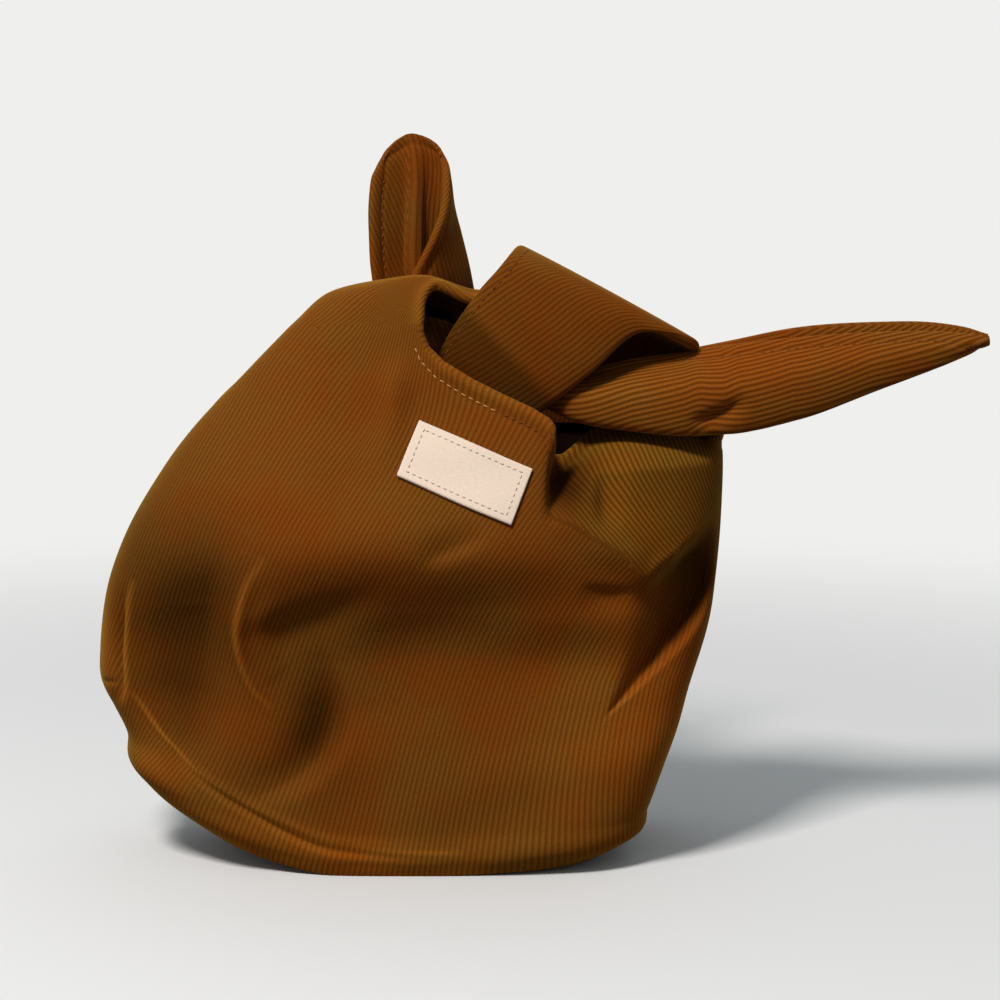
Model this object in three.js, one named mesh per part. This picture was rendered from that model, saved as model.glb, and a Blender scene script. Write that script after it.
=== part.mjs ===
// A soft corduroy cosmetic bag. A front and a back panel make a boxed, lined sack. At each side the cloth
// runs up into a two ply tie, and the two ties are crossed in one half knot over the mouth, so that an ear
// of cloth stands out on each side of the knot.
// Millimetres, +Z up, the front faces -Y and +X is to the right of somebody who looks at the front.
import * as THREE from 'three';

// Thickness of each cloth, and the clearance between neighbouring cloths
const CORDUROY_PLY = 1.4;
const LINING_PLY = 0.8;
const LABEL_PLY = 0.8;
const PLY_GAP = 0.3;
const SEAM_GAP = 0.3;

// Levels of the sack from the base it stands on up to the left tie: how far its wall reaches at each height
const BASE = { height: 0, left: 58, right: 62, front: 36, back: 34 };
const HEEL = { height: 15, left: 79, right: 84, front: 44, back: 42 };
const BELLY = { height: 58, left: 92, right: 98, front: 48, back: 46 };
const CHEST = { height: 95, left: 86, right: 107, front: 44, back: 42 };
const SHOULDER = { height: 128, left: 68, right: 108, front: 35, back: 33 };
const NECK = { height: 158, left: 40, right: 103, front: 25, back: 23 };
const CROWN = { height: 180, left: 16, right: 72, front: 18, back: 17 };
const SQUARENESS = 2.6;

// The seam under the base: how much shorter it is than the base, and how far it bows towards the back
const BASE_SEAM_INSET = 10;
const BASE_SEAM_BOW = 9;

// The mouth: where the left tie's front and back edges stand, how low the rim lies at the right of each
// panel, and the rim's path between them
const FRONT_EDGE_X = 10;
const BACK_EDGE_X = 6;
const FRONT_RIM_LOW = 131;
const BACK_RIM_LOW = 140;
const FRONT_RIM = [
  { x: 12, height: 168 },
  { x: 18, height: 158 },
  { x: 37, height: 148 },
  { x: 51, height: 140 },
];
const FRONT_RIM_END_X = 62;
const BACK_RIM = [
  { x: 7, height: 158 },
  { x: 10, height: 147 },
];
const BACK_RIM_END_X = 26;

// The sewn label on the front, turned clockwise
const LABEL = { x: 26, height: 125, width: 38, tall: 19, turn: THREE.MathUtils.degToRad(22.5) };

// The knot: where the left tie passes through it, measured up from the low rim of the front panel
const KNOT_X = 46;
const KNOT_Y = -1;
const KNOT_RISE = 29;

// Ties: where the right one leaves the back panel, how wide it is over the knot, and its arc of cloth
const RIGHT_TIE_START_X = 46;
const RIGHT_TIE_BOW = 10;
const RIGHT_TIE_WIDTH = 63;
const LEFT_TIE_WIDTH = 30;
const TUCKED_WIDTH = 26;
const FOLD_ARC = 1.2;

// Ears: the free ends of the ties, long leaves that are folded or cupped along their length
const RIGHT_EAR = { length: 81, deep: 29, opening: 18, lift: 6.5, drop: 3 };
const LEFT_EAR = { length: 45, wide: 30, cup: 8, lean: 9, drift: 3 };
const EAR_TIP_WIDTH = 6;
const EAR_TIP_DEPTH = 0.5;

// How finely each cloth is divided
const PANEL_COLUMNS = 26;
const BASE_ROWS = 3;
const WALL_ROWS = 10;
const ROW_CROWDING = 1.4;
const RIBBON_COLUMNS = 8;
const RIBBON_ROWS = 2;
const EAR_STATIONS = 7;

const FRONT = -1;
const BACK = 1;
const vector = (x, y, z) => new THREE.Vector3(x, y, z);

const CORDUROY = { color: '#7a4216', roughness: 0.92, metalness: 0 };
const LINING = { color: '#5c3616', roughness: 0.9, metalness: 0 };
const LABEL_CLOTH = { color: '#e8d6c6', roughness: 0.7, metalness: 0 };

const part = new THREE.Group();
part.name = 'cosmetic_bag';

function addPiece(name, geometry, look) {
  const piece = new THREE.Mesh(geometry, new THREE.MeshStandardMaterial(look));
  piece.name = name;
  part.add(piece);
}

// A closed sheet of cloth over a grid of points: its faces lie at two distances along each point's normal
function clothSheet({ points, normals }, outside, inside) {
  const columns = points.length;
  const rows = points[0].length;
  const positions = [];
  for (const distance of [outside, inside]) {
    for (let column = 0; column < columns; column += 1) {
      for (let row = 0; row < rows; row += 1) {
        const place = points[column][row].clone().addScaledVector(normals[column][row], distance);
        positions.push(place.x, place.y, place.z);
      }
    }
  }
  const outer = (column, row) => column * rows + row;
  const inner = (column, row) => columns * rows + outer(column, row);
  const index = [];
  const quad = (a, b, c, d) => index.push(a, b, c, a, c, d);
  for (let column = 0; column + 1 < columns; column += 1) {
    for (let row = 0; row + 1 < rows; row += 1) {
      quad(outer(column, row), outer(column + 1, row), outer(column + 1, row + 1), outer(column, row + 1));
      quad(inner(column, row), inner(column, row + 1), inner(column + 1, row + 1), inner(column + 1, row));
    }
    quad(outer(column, 0), inner(column, 0), inner(column + 1, 0), outer(column + 1, 0));
    const top = rows - 1;
    quad(outer(column + 1, top), inner(column + 1, top), inner(column, top), outer(column, top));
  }
  for (let row = 0; row + 1 < rows; row += 1) {
    quad(outer(0, row + 1), inner(0, row + 1), inner(0, row), outer(0, row));
    const last = columns - 1;
    quad(outer(last, row), inner(last, row), inner(last, row + 1), outer(last, row + 1));
  }
  const geometry = new THREE.BufferGeometry();
  geometry.setAttribute('position', new THREE.Float32BufferAttribute(positions, 3));
  geometry.setIndex(index);
  geometry.computeVertexNormals();
  return geometry;
}

// A grid of points, each with its normal from the neighbours beside, above and below it
function surfaceGrid(columns, rows, pointAt) {
  const points = [];
  for (let column = 0; column <= columns; column += 1) {
    points.push(Array.from({ length: rows + 1 }, (_, row) => pointAt(column / columns, row)));
  }
  const clamp = THREE.MathUtils.clamp;
  const normals = points.map((line, column) => line.map((_, row) => {
    const beside = points[clamp(column + 1, 0, columns)][row].clone()
      .sub(points[clamp(column - 1, 0, columns)][row]);
    const along = line[clamp(row + 1, 0, rows)].clone().sub(line[clamp(row - 1, 0, rows)]);
    return beside.cross(along).normalize();
  }));
  return { points, normals };
}

// The sack's wall
const levels = [BASE, HEEL, BELLY, CHEST, SHOULDER, NECK, CROWN];
const reach = new THREE.CubicInterpolant(
  levels.map((level) => level.height),
  levels.flatMap(({ left, right, front, back }) => [left, right, front, back]),
  4,
);
const rounded = (value) => Math.sign(value) * Math.abs(value) ** (2 / SQUARENESS);

// Outer face of the sack: the angle runs from the right side seam over the back to the left and the front
function wallPoint(side, angle, height) {
  const [left, right, front, back] = reach.evaluate(height);
  const depth = Math.abs(rounded(Math.sin(angle))) * (side === FRONT ? front : back);
  const x = (right - left) / 2 + rounded(Math.cos(angle)) * (right + left) / 2;
  return vector(x, side * (SEAM_GAP / 2 + depth), height);
}

const rimLine = (knots) => {
  const line = new THREE.LinearInterpolant(knots.map(({ x }) => x), knots.map(({ height }) => height), 1);
  return (x) => line.evaluate(x)[0];
};
const rims = {
  [FRONT]: rimLine([
    { x: FRONT_EDGE_X, height: CROWN.height },
    ...FRONT_RIM,
    { x: FRONT_RIM_END_X, height: FRONT_RIM_LOW },
  ]),
  [BACK]: rimLine([
    { x: BACK_EDGE_X, height: CROWN.height },
    ...BACK_RIM,
    { x: BACK_RIM_END_X, height: BACK_RIM_LOW },
  ]),
};

// Height at which a panel's wall meets its rim, found by halving
function rimHeight(side, angle) {
  let low = 0;
  let high = CROWN.height;
  for (let step = 0; step < 30; step += 1) {
    const middle = (low + high) / 2;
    if (middle < rims[side](wallPoint(side, angle, middle).x)) {
      low = middle;
    } else {
      high = middle;
    }
  }
  return high;
}

// A panel runs from the seam under the base out to the base's edge, and up the wall to its rim. The base lies
// flat, and the cloth of both panels stands square to the side seams that join them
function panelGrid(side) {
  const startAngle = side === FRONT ? Math.PI : 0;
  const grid = surfaceGrid(PANEL_COLUMNS, BASE_ROWS + WALL_ROWS, (share, row) => {
    const angle = startAngle + share * Math.PI;
    if (row < BASE_ROWS) {
      const edge = wallPoint(side, angle, 0);
      const middle = (BASE.right - BASE.left) / 2;
      const shorter = 1 - 2 * BASE_SEAM_INSET / (BASE.right + BASE.left);
      const bow = BASE_SEAM_BOW * Math.sin(angle) ** 4;
      const seam = vector(middle + (edge.x - middle) * shorter, side * SEAM_GAP / 2 + bow, 0);
      return seam.lerp(edge, row / BASE_ROWS);
    }
    const rise = ((row - BASE_ROWS) / WALL_ROWS) ** ROW_CROWDING;
    return wallPoint(side, angle, rise * rimHeight(side, angle));
  });
  for (const line of grid.normals) {
    line.slice(0, BASE_ROWS).forEach((normal) => normal.set(0, 0, -1));
  }
  for (const seamLine of [grid.normals[0], grid.normals[PANEL_COLUMNS]]) {
    seamLine.forEach((normal) => normal.setY(0).normalize());
  }
  return grid;
}

for (const [side, name] of [[FRONT, 'front'], [BACK, 'back']]) {
  const grid = panelGrid(side);
  const behind = -CORDUROY_PLY - PLY_GAP;
  addPiece(`${name}_panel`, clothSheet(grid, 0, -CORDUROY_PLY), CORDUROY);
  addPiece(`${name}_lining`, clothSheet(grid, behind, behind - LINING_PLY), LINING);
}

// Outer face of the front or the back panel, straight before or behind a place seen from the front
function facePoint(side, x, height) {
  const [left, right] = reach.evaluate(height);
  const across = (x - (right - left) / 2) / ((right + left) / 2);
  const cosine = Math.sign(across) * Math.abs(across) ** (SQUARENESS / 2);
  return wallPoint(side, side * Math.acos(cosine), height);
}

// The label lies on the front panel
const LABEL_COLUMNS = 10;
const LABEL_ROWS = 5;
const labelGrid = surfaceGrid(LABEL_COLUMNS, LABEL_ROWS, (share, row) => {
  const along = (share - 0.5) * LABEL.width;
  const up = (row / LABEL_ROWS - 0.5) * LABEL.tall;
  const x = LABEL.x + along * Math.cos(LABEL.turn) + up * Math.sin(LABEL.turn);
  const height = LABEL.height - along * Math.sin(LABEL.turn) + up * Math.cos(LABEL.turn);
  return facePoint(FRONT, x, height);
});
addPiece('label', clothSheet(labelGrid, PLY_GAP + LABEL_PLY, PLY_GAP), LABEL_CLOTH);

// A ribbon passes through stations. At each one the cloth is an arc: it lies across the way it runs, and its
// outer face bows towards the station's facing
function ribbonGrid(stations) {
  const curve = (pick) => new THREE.CatmullRomCurve3(stations.map(pick), false, 'catmullrom', 0.5);
  const middles = curve(({ at }) => at);
  const acrosses = curve(({ across }) => across.clone().normalize());
  const facings = curve(({ facing }) => facing.clone().normalize());
  const sizes = curve(({ width, bow }) => vector(width, bow, 0));
  const rows = (stations.length - 1) * RIBBON_ROWS;
  const points = [];
  const normals = [];
  for (let column = 0; column <= RIBBON_COLUMNS; column += 1) {
    const turn = FOLD_ARC * (1 - 2 * column / RIBBON_COLUMNS);
    const pointLine = [];
    const normalLine = [];
    for (let row = 0; row <= rows; row += 1) {
      const way = row / rows;
      const across = acrosses.getPoint(way).normalize();
      const facing = facings.getPoint(way);
      facing.addScaledVector(across, -facing.dot(across)).normalize();
      const size = sizes.getPoint(way);
      const half = size.x / 2 / Math.sin(FOLD_ARC);
      const deep = size.y / (1 - Math.cos(FOLD_ARC));
      pointLine.push(middles.getPoint(way)
        .addScaledVector(across, half * Math.sin(turn))
        .addScaledVector(facing, deep * (Math.cos(turn) - Math.cos(FOLD_ARC))));
      normalLine.push(across.multiplyScalar(deep * Math.sin(turn))
        .addScaledVector(facing, half * Math.cos(turn)).normalize());
    }
    points.push(pointLine);
    normals.push(normalLine);
  }
  return { points, normals };
}

// Each ribbon is two plies of corduroy, sewn face out round their edge
function addRibbon(name, stations) {
  const grid = ribbonGrid(stations);
  addPiece(`${name}_outer`, clothSheet(grid, PLY_GAP / 2 + CORDUROY_PLY, PLY_GAP / 2), CORDUROY);
  addPiece(`${name}_facing`, clothSheet(grid, -PLY_GAP / 2, -PLY_GAP / 2 - CORDUROY_PLY), CORDUROY);
}
const station = (at, across, facing, width, bow) => ({ at, across, facing, width, bow });

const KNOT_Z = FRONT_RIM_LOW + KNOT_RISE;
const knot = (x, y, z) => vector(KNOT_X + x, KNOT_Y + y, KNOT_Z + z);

// The left tie carries on from the top of the sack's left side, turns over to the right, and passes through
// the knot. It leaves the knot folded along its length
const plyMiddle = CORDUROY_PLY + PLY_GAP / 2;
const frontEdge = vector(FRONT_EDGE_X, plyMiddle - CROWN.front, CROWN.height + SEAM_GAP);
const backEdge = vector(BACK_EDGE_X, CROWN.back - plyMiddle, CROWN.height + SEAM_GAP);
const crownMiddle = frontEdge.clone().lerp(backEdge, 0.5);
const overTop = crownMiddle.clone().add(vector(12, 2, -3));
const rightRoot = knot(64, -7, 3.5);
addRibbon('left_tie', [
  station(crownMiddle, backEdge.clone().sub(frontEdge), vector(-1, 0, 0), frontEdge.distanceTo(backEdge),
    crownMiddle.x + CROWN.left - plyMiddle),
  station(overTop, vector(0, 0.93, -0.37), vector(0.15, 0.37, 0.92), LEFT_TIE_WIDTH, 5),
  station(overTop.clone().lerp(knot(0, 0, 0), 0.5), vector(-0.25, 0.55, -0.8), vector(0.2, 0.83, 0.5),
    LEFT_TIE_WIDTH, 4),
  station(knot(0, 0, 0), vector(-0.5, 0, -0.86), vector(0, 1, 0), LEFT_TIE_WIDTH, 3),
  station(knot(16, -2, -8), vector(-0.2, -0.6, -0.75), vector(0, 0.75, -0.6), 22, 7),
  station(knot(38, -6, -4.5), vector(0, -1, 0.1), vector(0, 0, -1), 15, 19),
  station(rightRoot.clone().sub(vector(SEAM_GAP / 2, 0, 0)), vector(0, -1, 0), vector(0, 0, -1),
    RIGHT_EAR.opening, RIGHT_EAR.deep),
]);

// The right tie rises from the right of the back panel, folds forward over the knot, comes down in front of
// it, tucks into the mouth, runs back under the left tie and climbs out behind the left side
const tieLeft = facePoint(BACK, RIGHT_TIE_START_X, BACK_RIM_LOW);
const tieRight = wallPoint(BACK, 0, BACK_RIM_LOW);
const tieAcross = tieRight.clone().sub(tieLeft);
const tieOut = vector(-tieAcross.y, tieAcross.x, 0).normalize();
const tieStart = tieLeft.clone().lerp(tieRight, 0.5).addScaledVector(tieOut, -plyMiddle);
const leftRoot = knot(-35.5, 30, 23);
addRibbon('right_tie', [
  station(tieStart.add(vector(0, 0, SEAM_GAP)), tieAcross, tieOut, tieAcross.length(), RIGHT_TIE_BOW),
  station(knot(28, 15, -3), vector(0.95, 0, -0.2), vector(0, 1, 0), RIGHT_TIE_WIDTH - 4, 3),
  station(knot(25, 13, 11.5), vector(0.88, 0, -0.45), vector(0.2, 0.9, 0.35), RIGHT_TIE_WIDTH - 2, 1),
  station(knot(23.3, -1, 19), vector(0.88, 0, -0.45), vector(0.45, -0.1, 0.88), RIGHT_TIE_WIDTH, 0.5),
  station(knot(6, -16, 7.5), vector(0.68, -0.15, -0.71), vector(0, -1, 0), RIGHT_TIE_WIDTH - 12, 1.5),
  station(knot(-8, -17, -1.7), vector(0.5, -0.05, -0.87), vector(0, -1, 0), RIGHT_TIE_WIDTH - 20, 2),
  station(knot(-16, -14, -11), vector(0.6, 0, -0.8), vector(0, -0.95, -0.2), TUCKED_WIDTH + 6, 3),
  station(knot(-19, -6, -19), vector(0.95, 0, -0.3), vector(0, -0.6, -0.8), TUCKED_WIDTH + 2, 3),
  station(knot(-19, 6, -20.5), vector(1, 0, 0), vector(0, 0, -1), TUCKED_WIDTH, 3),
  station(knot(-19, 18, -13), vector(1, 0, 0), vector(0, 0.8, -0.6), TUCKED_WIDTH, 3),
  station(knot(-27, 30, 3), vector(0.97, -0.1, 0.2), vector(0, 1, 0), TUCKED_WIDTH, 4),
  station(leftRoot.clone().sub(vector(0, 0, SEAM_GAP / 2)), vector(1, 0, 0), vector(0, 1, 0),
    LEFT_EAR.wide, LEFT_EAR.cup),
]);

// Outline of an ear's half width along its length: nearly full for the first third, then a round end
const leaf = (way) => (1 - way ** 2.3) ** 0.7;
const alongEar = (stationAt) => Array.from({ length: EAR_STATIONS }, (_, step) =>
  stationAt(step / (EAR_STATIONS - 1)));
const taper = (full, end, way) => end + (full - end) * leaf(way);

addRibbon('right_ear', alongEar((way) => station(
  rightRoot.clone().add(vector(
    SEAM_GAP / 2 + way * (RIGHT_EAR.length - SEAM_GAP / 2),
    0,
    RIGHT_EAR.lift * Math.sin(0.8 * Math.PI * way) - RIGHT_EAR.drop * way ** 6,
  )),
  vector(0, -1, 0),
  vector(0, 0, -1),
  taper(RIGHT_EAR.opening, EAR_TIP_WIDTH, way),
  taper(RIGHT_EAR.deep, EAR_TIP_DEPTH, way),
)));

addRibbon('left_ear', alongEar((way) => station(
  leftRoot.clone().add(vector(
    -LEFT_EAR.drift * way,
    LEFT_EAR.lean * way ** 1.5,
    SEAM_GAP / 2 + way * (LEFT_EAR.length - SEAM_GAP / 2),
  )),
  vector(1, 0, 0),
  vector(0, 1, 0),
  taper(LEFT_EAR.wide, EAR_TIP_WIDTH, way),
  taper(LEFT_EAR.cup, EAR_TIP_DEPTH, way),
)));

export default part;
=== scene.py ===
"""A soft corduroy cosmetic bag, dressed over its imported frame.

Lengths in the tables are millimetres, and meshes are metres. +Z is up and the front faces -Y.
"""
import bpy
import numpy as np
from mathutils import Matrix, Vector


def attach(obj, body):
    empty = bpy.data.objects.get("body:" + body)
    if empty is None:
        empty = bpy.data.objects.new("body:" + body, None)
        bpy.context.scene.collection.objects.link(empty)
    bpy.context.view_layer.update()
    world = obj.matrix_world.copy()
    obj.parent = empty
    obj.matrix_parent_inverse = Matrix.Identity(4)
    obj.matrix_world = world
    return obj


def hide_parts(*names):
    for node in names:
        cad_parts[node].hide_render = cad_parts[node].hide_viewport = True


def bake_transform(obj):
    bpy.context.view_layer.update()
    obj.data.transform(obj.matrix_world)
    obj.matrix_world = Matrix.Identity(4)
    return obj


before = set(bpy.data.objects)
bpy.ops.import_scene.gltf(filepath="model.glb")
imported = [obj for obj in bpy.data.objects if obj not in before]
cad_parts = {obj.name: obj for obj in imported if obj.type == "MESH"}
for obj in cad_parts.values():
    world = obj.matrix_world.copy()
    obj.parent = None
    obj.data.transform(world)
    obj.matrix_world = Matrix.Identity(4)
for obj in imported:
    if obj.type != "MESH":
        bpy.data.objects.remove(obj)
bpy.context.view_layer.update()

MM = 0.001
FRONT, BACK = -1, 1

# Meshes: columns and rows of the panels, the ties, the ears and the label, and rows in each rounded edge
PANEL_COLUMNS = 300
BASE_ROWS = 10
WALL_ROWS = 240
# The panels' rows lie closer together near the floor, by this power
ROW_POWER = 1.25
TIE_COLUMNS = 61
HOOD_ROWS = 130
BAND_ROWS = 230
EAR_COLUMNS = 121
LEFT_EAR_ROWS = 180
RIGHT_EAR_ROWS = 200
LABEL_GRID = (49, 25)
EDGE_ROWS = 6
# Samples on curves that are measured, on a fold's path and round the floor, and how often a span is halved
FINE_SAMPLES = 4000
STRAP_SAMPLES = 2000
SECTION_SAMPLES = 400
PATH_SAMPLES = 60
FLOOR_SIDES = 96
HALVINGS = 26

# Cloth
WALE_PITCH = 1.63
# Plain cloth's values in the painted light and shade: red, green and blue kept whole, and the contrast of its
# wales
PLAIN_NAP = (1.0, 1.0, 1.0, 0.52)
# The share of the cloth that the light tops of the wales take up
WALE_SHARE = 0.42
# How dark and how light single tufts of the pile are
PILE_SHADES = (0.84, 1.16)
# Display colours: the corduroy's ground and the tops of its wales, each in two shades of brushed pile, a
# painted golden sheen mixed in at a slant, and the tint of its shader's sheen
GROUND_SHADES = ((99, 46, 5), (90, 50, 7))
TOP_SHADES = ((129, 66, 16), (123, 78, 26))
PAINTED_SLANT_SHEEN = (136, 95, 25)
SLANT = 0.35
SHEEN_COLOUR = (180, 130, 50)
# How the wales wander and how the pile lies: scales across and along the wales, the wander, the power that
# rounds a wale, the pile's share of the relief, and the patches to a metre
WANDER_SCALE = (0.6, 0.09)
WANDER = 0.22
WALE_POWER = 0.85
PILE_SCALE = (4.0, 1.6)
PILE_RELIEF = 0.35
PATCH_SCALE = 28.0
# The share of the woven threads in a plain cloth's unevenness
WEAVE_SHARE = 0.35
# Light and dark threads of the woven cloths, and the sewing threads
LINING_SHADES = ((72, 43, 18), (57, 33, 13))
LABEL_SHADES = ((236, 219, 203), (224, 203, 186))
GOLD, BROWN, PALE_PINK = (184, 134, 74), (112, 64, 22), (206, 192, 180)

# The turned hem of the mouth: its half round, its facing, its stitches' place, and the height and reach of
# its raised edge and of the groove along the stitches
HEM_ROUND = 1.7
HEM_FACING = 15.0
HEM_STITCH_IN = 3.8
HEM_RAISE = (0.7, 2.2)
HEM_GROOVE = (0.55, 1.3)
# It ends between these distances below the ties
HEM_END = (14, 6)
# Rows over the half round and down the facing, and the half round and share of facing left at a tie
HEM_ROWS = (9, 8)
HEM_TIED = (0.02, 0.05)
# The facing leans away from the wall. Where the lip dives into its pocket it is narrower: by which share, and
# where across this starts and ends
HEM_LEAN = 0.02
HEM_NARROW = (0.9, (46, 51), (62, 70))
# A painted highlight on the rim of the mouth, where the pile catches the light: the reach of this and the
# colour added
RIM_HIGHLIGHT = (1.3, np.array([0.3, 0.42, 0.36]))
# How far inside the cloth the lining lies, and how much coarser its grid is
LINING_IN = 2.4
LINING_STEP = 2
TIE_HALF = 1.7

# The sack: how far its wall reaches to each side at each height, and how square its section is on the left
# and on the right there
WALL_LEVELS = np.array([
    # height, left, right, front, back, squareness left and right
    [0.0, 57.0, 71.0, 42.0, 36.0, 2.8, 3.8],
    [5.0, 69.0, 81.0, 44.0, 39.5, 2.8, 4.2],
    [14.0, 79.0, 84.5, 43.5, 42.0, 3.0, 5.0],
    [32.0, 84.5, 90.0, 42.5, 44.0, 3.0, 5.4],
    [44.0, 88.5, 94.0, 41.0, 45.0, 3.0, 5.4],
    [54.0, 92.0, 97.0, 40.0, 45.0, 3.0, 5.0],
    [66.0, 92.0, 101.0, 40.5, 45.0, 3.0, 3.8],
    [83.0, 89.5, 105.0, 45.5, 44.0, 3.0, 2.6],
    [102.0, 83.0, 107.5, 49.0, 40.5, 2.9, 2.1],
    [115.0, 75.5, 108.0, 45.0, 37.0, 2.8, 2.0],
    [128.0, 67.0, 108.0, 38.0, 33.0, 2.7, 2.1],
    [141.0, 56.0, 107.0, 31.0, 28.5, 2.6, 2.3],
    [155.0, 42.5, 104.0, 26.0, 24.0, 2.6, 2.6],
    [168.0, 29.5, 92.0, 22.0, 20.5, 2.6, 2.6],
    [180.0, 16.0, 72.0, 18.0, 17.0, 2.6, 2.6],
])
# The panels' columns are spaced evenly at this height
BELLY_HEIGHT = 60.0
SIDE_SEAM_DEPTH = 1.6
SIDE_SEAM_REACH = 2.2
SIDE_SEAM_FLOOR = 6.0
BASE_SEAM_BOW = 9.0
BASE_SEAM_SHARE = 0.83

# The left tie is sewn on at this height, up to these places across on the front and on the back. Its ring is
# traced through every sixth point of the wall, and its tucked end moves towards a middle
STRAP_HEIGHT = 170.0
STRAP_EDGES = (11.2, 6.3)
STRAP_STEP = 6
STRAP_MIDDLE = 20.0
# A rim this close to that height is sewn to a tie, and the stitched lip ends this far below it
STRAP_WITHIN = 0.1
LIP_BELOW = 3
# A painted highlight on the hood's edge at the mouth, a roll whose pile catches the light: its reach and the
# colour added
HOOD_EDGE_HIGHLIGHT = (2.0, np.array([0.35, 0.5, 0.45]))
# Its first rows are tucked in: how far down and how far in, and the rows among which its seam lies
HOOD_TUCK = 6.0
HOOD_TUCK_IN = 0.3
HOOD_SEAM_ROWS = 30

# The mouth's rim over each panel: height at each place across
FRONT_RIM = np.array([
    [-200, 170], [11.2, 170], [11.6, 167], [13.4, 162.5], [18.3, 157.5], [27.5, 152],
    [36.8, 147.6], [46, 143.4], [51, 140.4], [53.4, 137.5], [54.6, 134], [60, 134], [70, 138],
    [95, 140], [108, 134], [200, 134],
])
BACK_RIM = np.array([
    [-200, 170], [6.3, 170], [6.8, 166], [7.5, 158], [12, 147], [26, 140.5], [60, 140], [200, 140],
])

# The share of a fold's path over which it fades out at each end
FOLD_END = 0.46
# Folds also fade out towards the side seams, towards the floor and between these heights
FOLD_FADE = (9, 4, (152, 168))
# Unevenness of slack cloth: size and seed on each panel, number of waves, their lengths and the usual one
RIPPLES = {FRONT: (0.16, 3), BACK: (0.35, 8)}
RIPPLE_WAVES = 9
RIPPLE_LENGTHS = (18, 55)
RIPPLE_USUAL = 40
# Folds of the front: the path of each valley across and up, how deep it is, its reach on the left and on
# the right of the path, and where there is puffed cloth on the left, its rise, its distance and its reach
FOLDS = {
    "waist": ([(-42, 70), (-24, 72), (-6, 74), (14, 76), (34, 77), (54, 78), (70, 80)],
              3.0, 18.0, 22.0, 1.5, 30.0, 12.0),
    "waist_crease": ([(-46, 72.5), (-38, 75), (-29, 78), (-19, 81.5), (-8, 86), (6, 92)], 3.2, 5.0, 8.0),
    "label_crease": ([(10, 99), (22, 104), (37, 110)], 1.8, 5.0, 3.0),
    "crescent": ([(-34, 101), (-40, 91.5), (-43, 82), (-43.8, 74), (-42.3, 65.5), (-38.7, 58), (-33, 53)],
                 -2.4, 2.8, 2.2, 1.6, 7.0, 5.0),
    "hook": ([(-21, 80), (-18, 66), (-15.5, 54), (-16, 44.5), (-21, 36), (-28, 29.5), (-37, 24), (-47, 19.5)],
             7.0, 4.0, 9.0),
    "left_hollow": ([(-46, 124), (-53, 100), (-57, 80), (-60, 60), (-63, 44), (-68, 28), (-73, 16)],
                    11.0, 12.0, 22.0),
    "left_tuck": ([(-80, 92), (-83, 82), (-85, 68), (-85.5, 54), (-87, 46)], 2.2, 0.9, 1.6),
    "tuck_seam": ([(-93, 55), (-89, 56), (-86, 57)], 0.7, 1.0, 1.0),
    "facet_ridge": ([(50, 114), (58, 110.5), (74, 101), (81, 93), (90, 97), (103, 106)], -2.5, 4.0, 5.0),
    "lip_pocket": ([(57.5, 150), (57.5, 138), (54.5, 125), (52.5, 109)], 18.0, 10.0, 1.9),
    "facet_crease": ([(71, 138), (70, 119), (71, 106)], 3.5, 5.0, 3.0),
    "elbow_crease": ([(60, 91), (70, 88.5), (80, 88)], 2.0, 2.0, 6.0),
    "strap_ridge": ([(7, 168), (4, 145), (2, 124)], -2.2, 4.5, 4.5),
    "base_crease": ([(-84, 53), (-72, 35), (-52, 21), (-26, 11), (0, 7), (26, 6)],
                    1.3, 2.6, 1.4, 0.9, 2.8, 1.6),
}

# Folds of the back, told in the same way
BACK_FOLDS = {
    "waist": ([(-50, 60), (-20, 80), (20, 95), (50, 118)], 3.6, 5.0, 16.0, 2.0, 9.0, 9.0),
    "right_hollow": ([(80, 50), (70, 80), (74, 110)], 3.2, 8.0, 8.0),
    "left_hollow": ([(-62, 108), (-58, 84), (-62, 58), (-58, 34)], 4.5, 9.0, 14.0),
    "low_crease": ([(-8, 62), (12, 52), (34, 48), (60, 50)], 3.0, 4.0, 9.0, 1.0, 8.0, 5.0),
    "strap_crease": ([(20, 146), (30, 126), (48, 112)], 2.6, 3.5, 7.0),
    "base_crease": ([(-84, 53), (-72, 35), (-52, 21), (-26, 11), (0, 7), (26, 6)],
                    1.4, 2.6, 1.4, 0.9, 2.8, 1.6),
}

# The fold on the right opens from its tip like a cone: path, then depth, reaches, puff below it and the
# puff's distance, all at its far end
SIDE_PLEAT = ([(69, 49), (80, 61), (90, 71.5), (96.5, 81), (102, 90)], 21.0, 18.0, 4.0, 2.0, 9.0)

# The share of its path at which it starts, and the reach of the puff as a share of its distance
PLEAT_START = 0.02
PLEAT_PUFF = 0.7
# Shares of the wall's bulge between which the side seam stops holding the cloth out, and heights over the
# facet's ridge between which the pleat ends
SEAM_HOLD = (0.2, 0.6)
PLEAT_END = (-6, 3)

# Painted light and shade on the front: middle of each patch across and up, its reaches, and what it adds to
# the red, green and blue that the cloth throws back; patches that take away are painted shade, those that add
# painted light
PAINTED_LIGHT_PATCHES = [
    (-60, 78, 20, 42, (-0.34, -0.34, -0.36)),
    (-10, 80, 45, 12, (-0.10, -0.10, -0.10)),
    (78, 38, 32, 32, (0.5, 0.5, 0.45)),
    (59.5, 124, 8.0, 12, (-0.75, -0.75, -0.75)),
    (86, 46, 15, 20, (0.3, 0.3, 0.25)),
    (-50, 12, 30, 9, (0.2, 0.3, 0.28)),
    (-66, 46, 11, 22, (-0.25, -0.25, -0.25)),
    (-34, 28, 16, 12, (-0.12, -0.12, -0.12)),
    (-20, 47, 9, 14, (-0.5, -0.45, -0.5)),
    (-20, 3, 80, 9, (0.55, 0.7, 0.65)),
    (-78, 100, 12, 20, (-0.2, -0.18, -0.2)),
    (-90, 68, 4, 18, (0.35, 0.45, 0.35)),
    (-76, 24, 16, 12, (0.25, 0.35, 0.3)),
]
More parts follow.
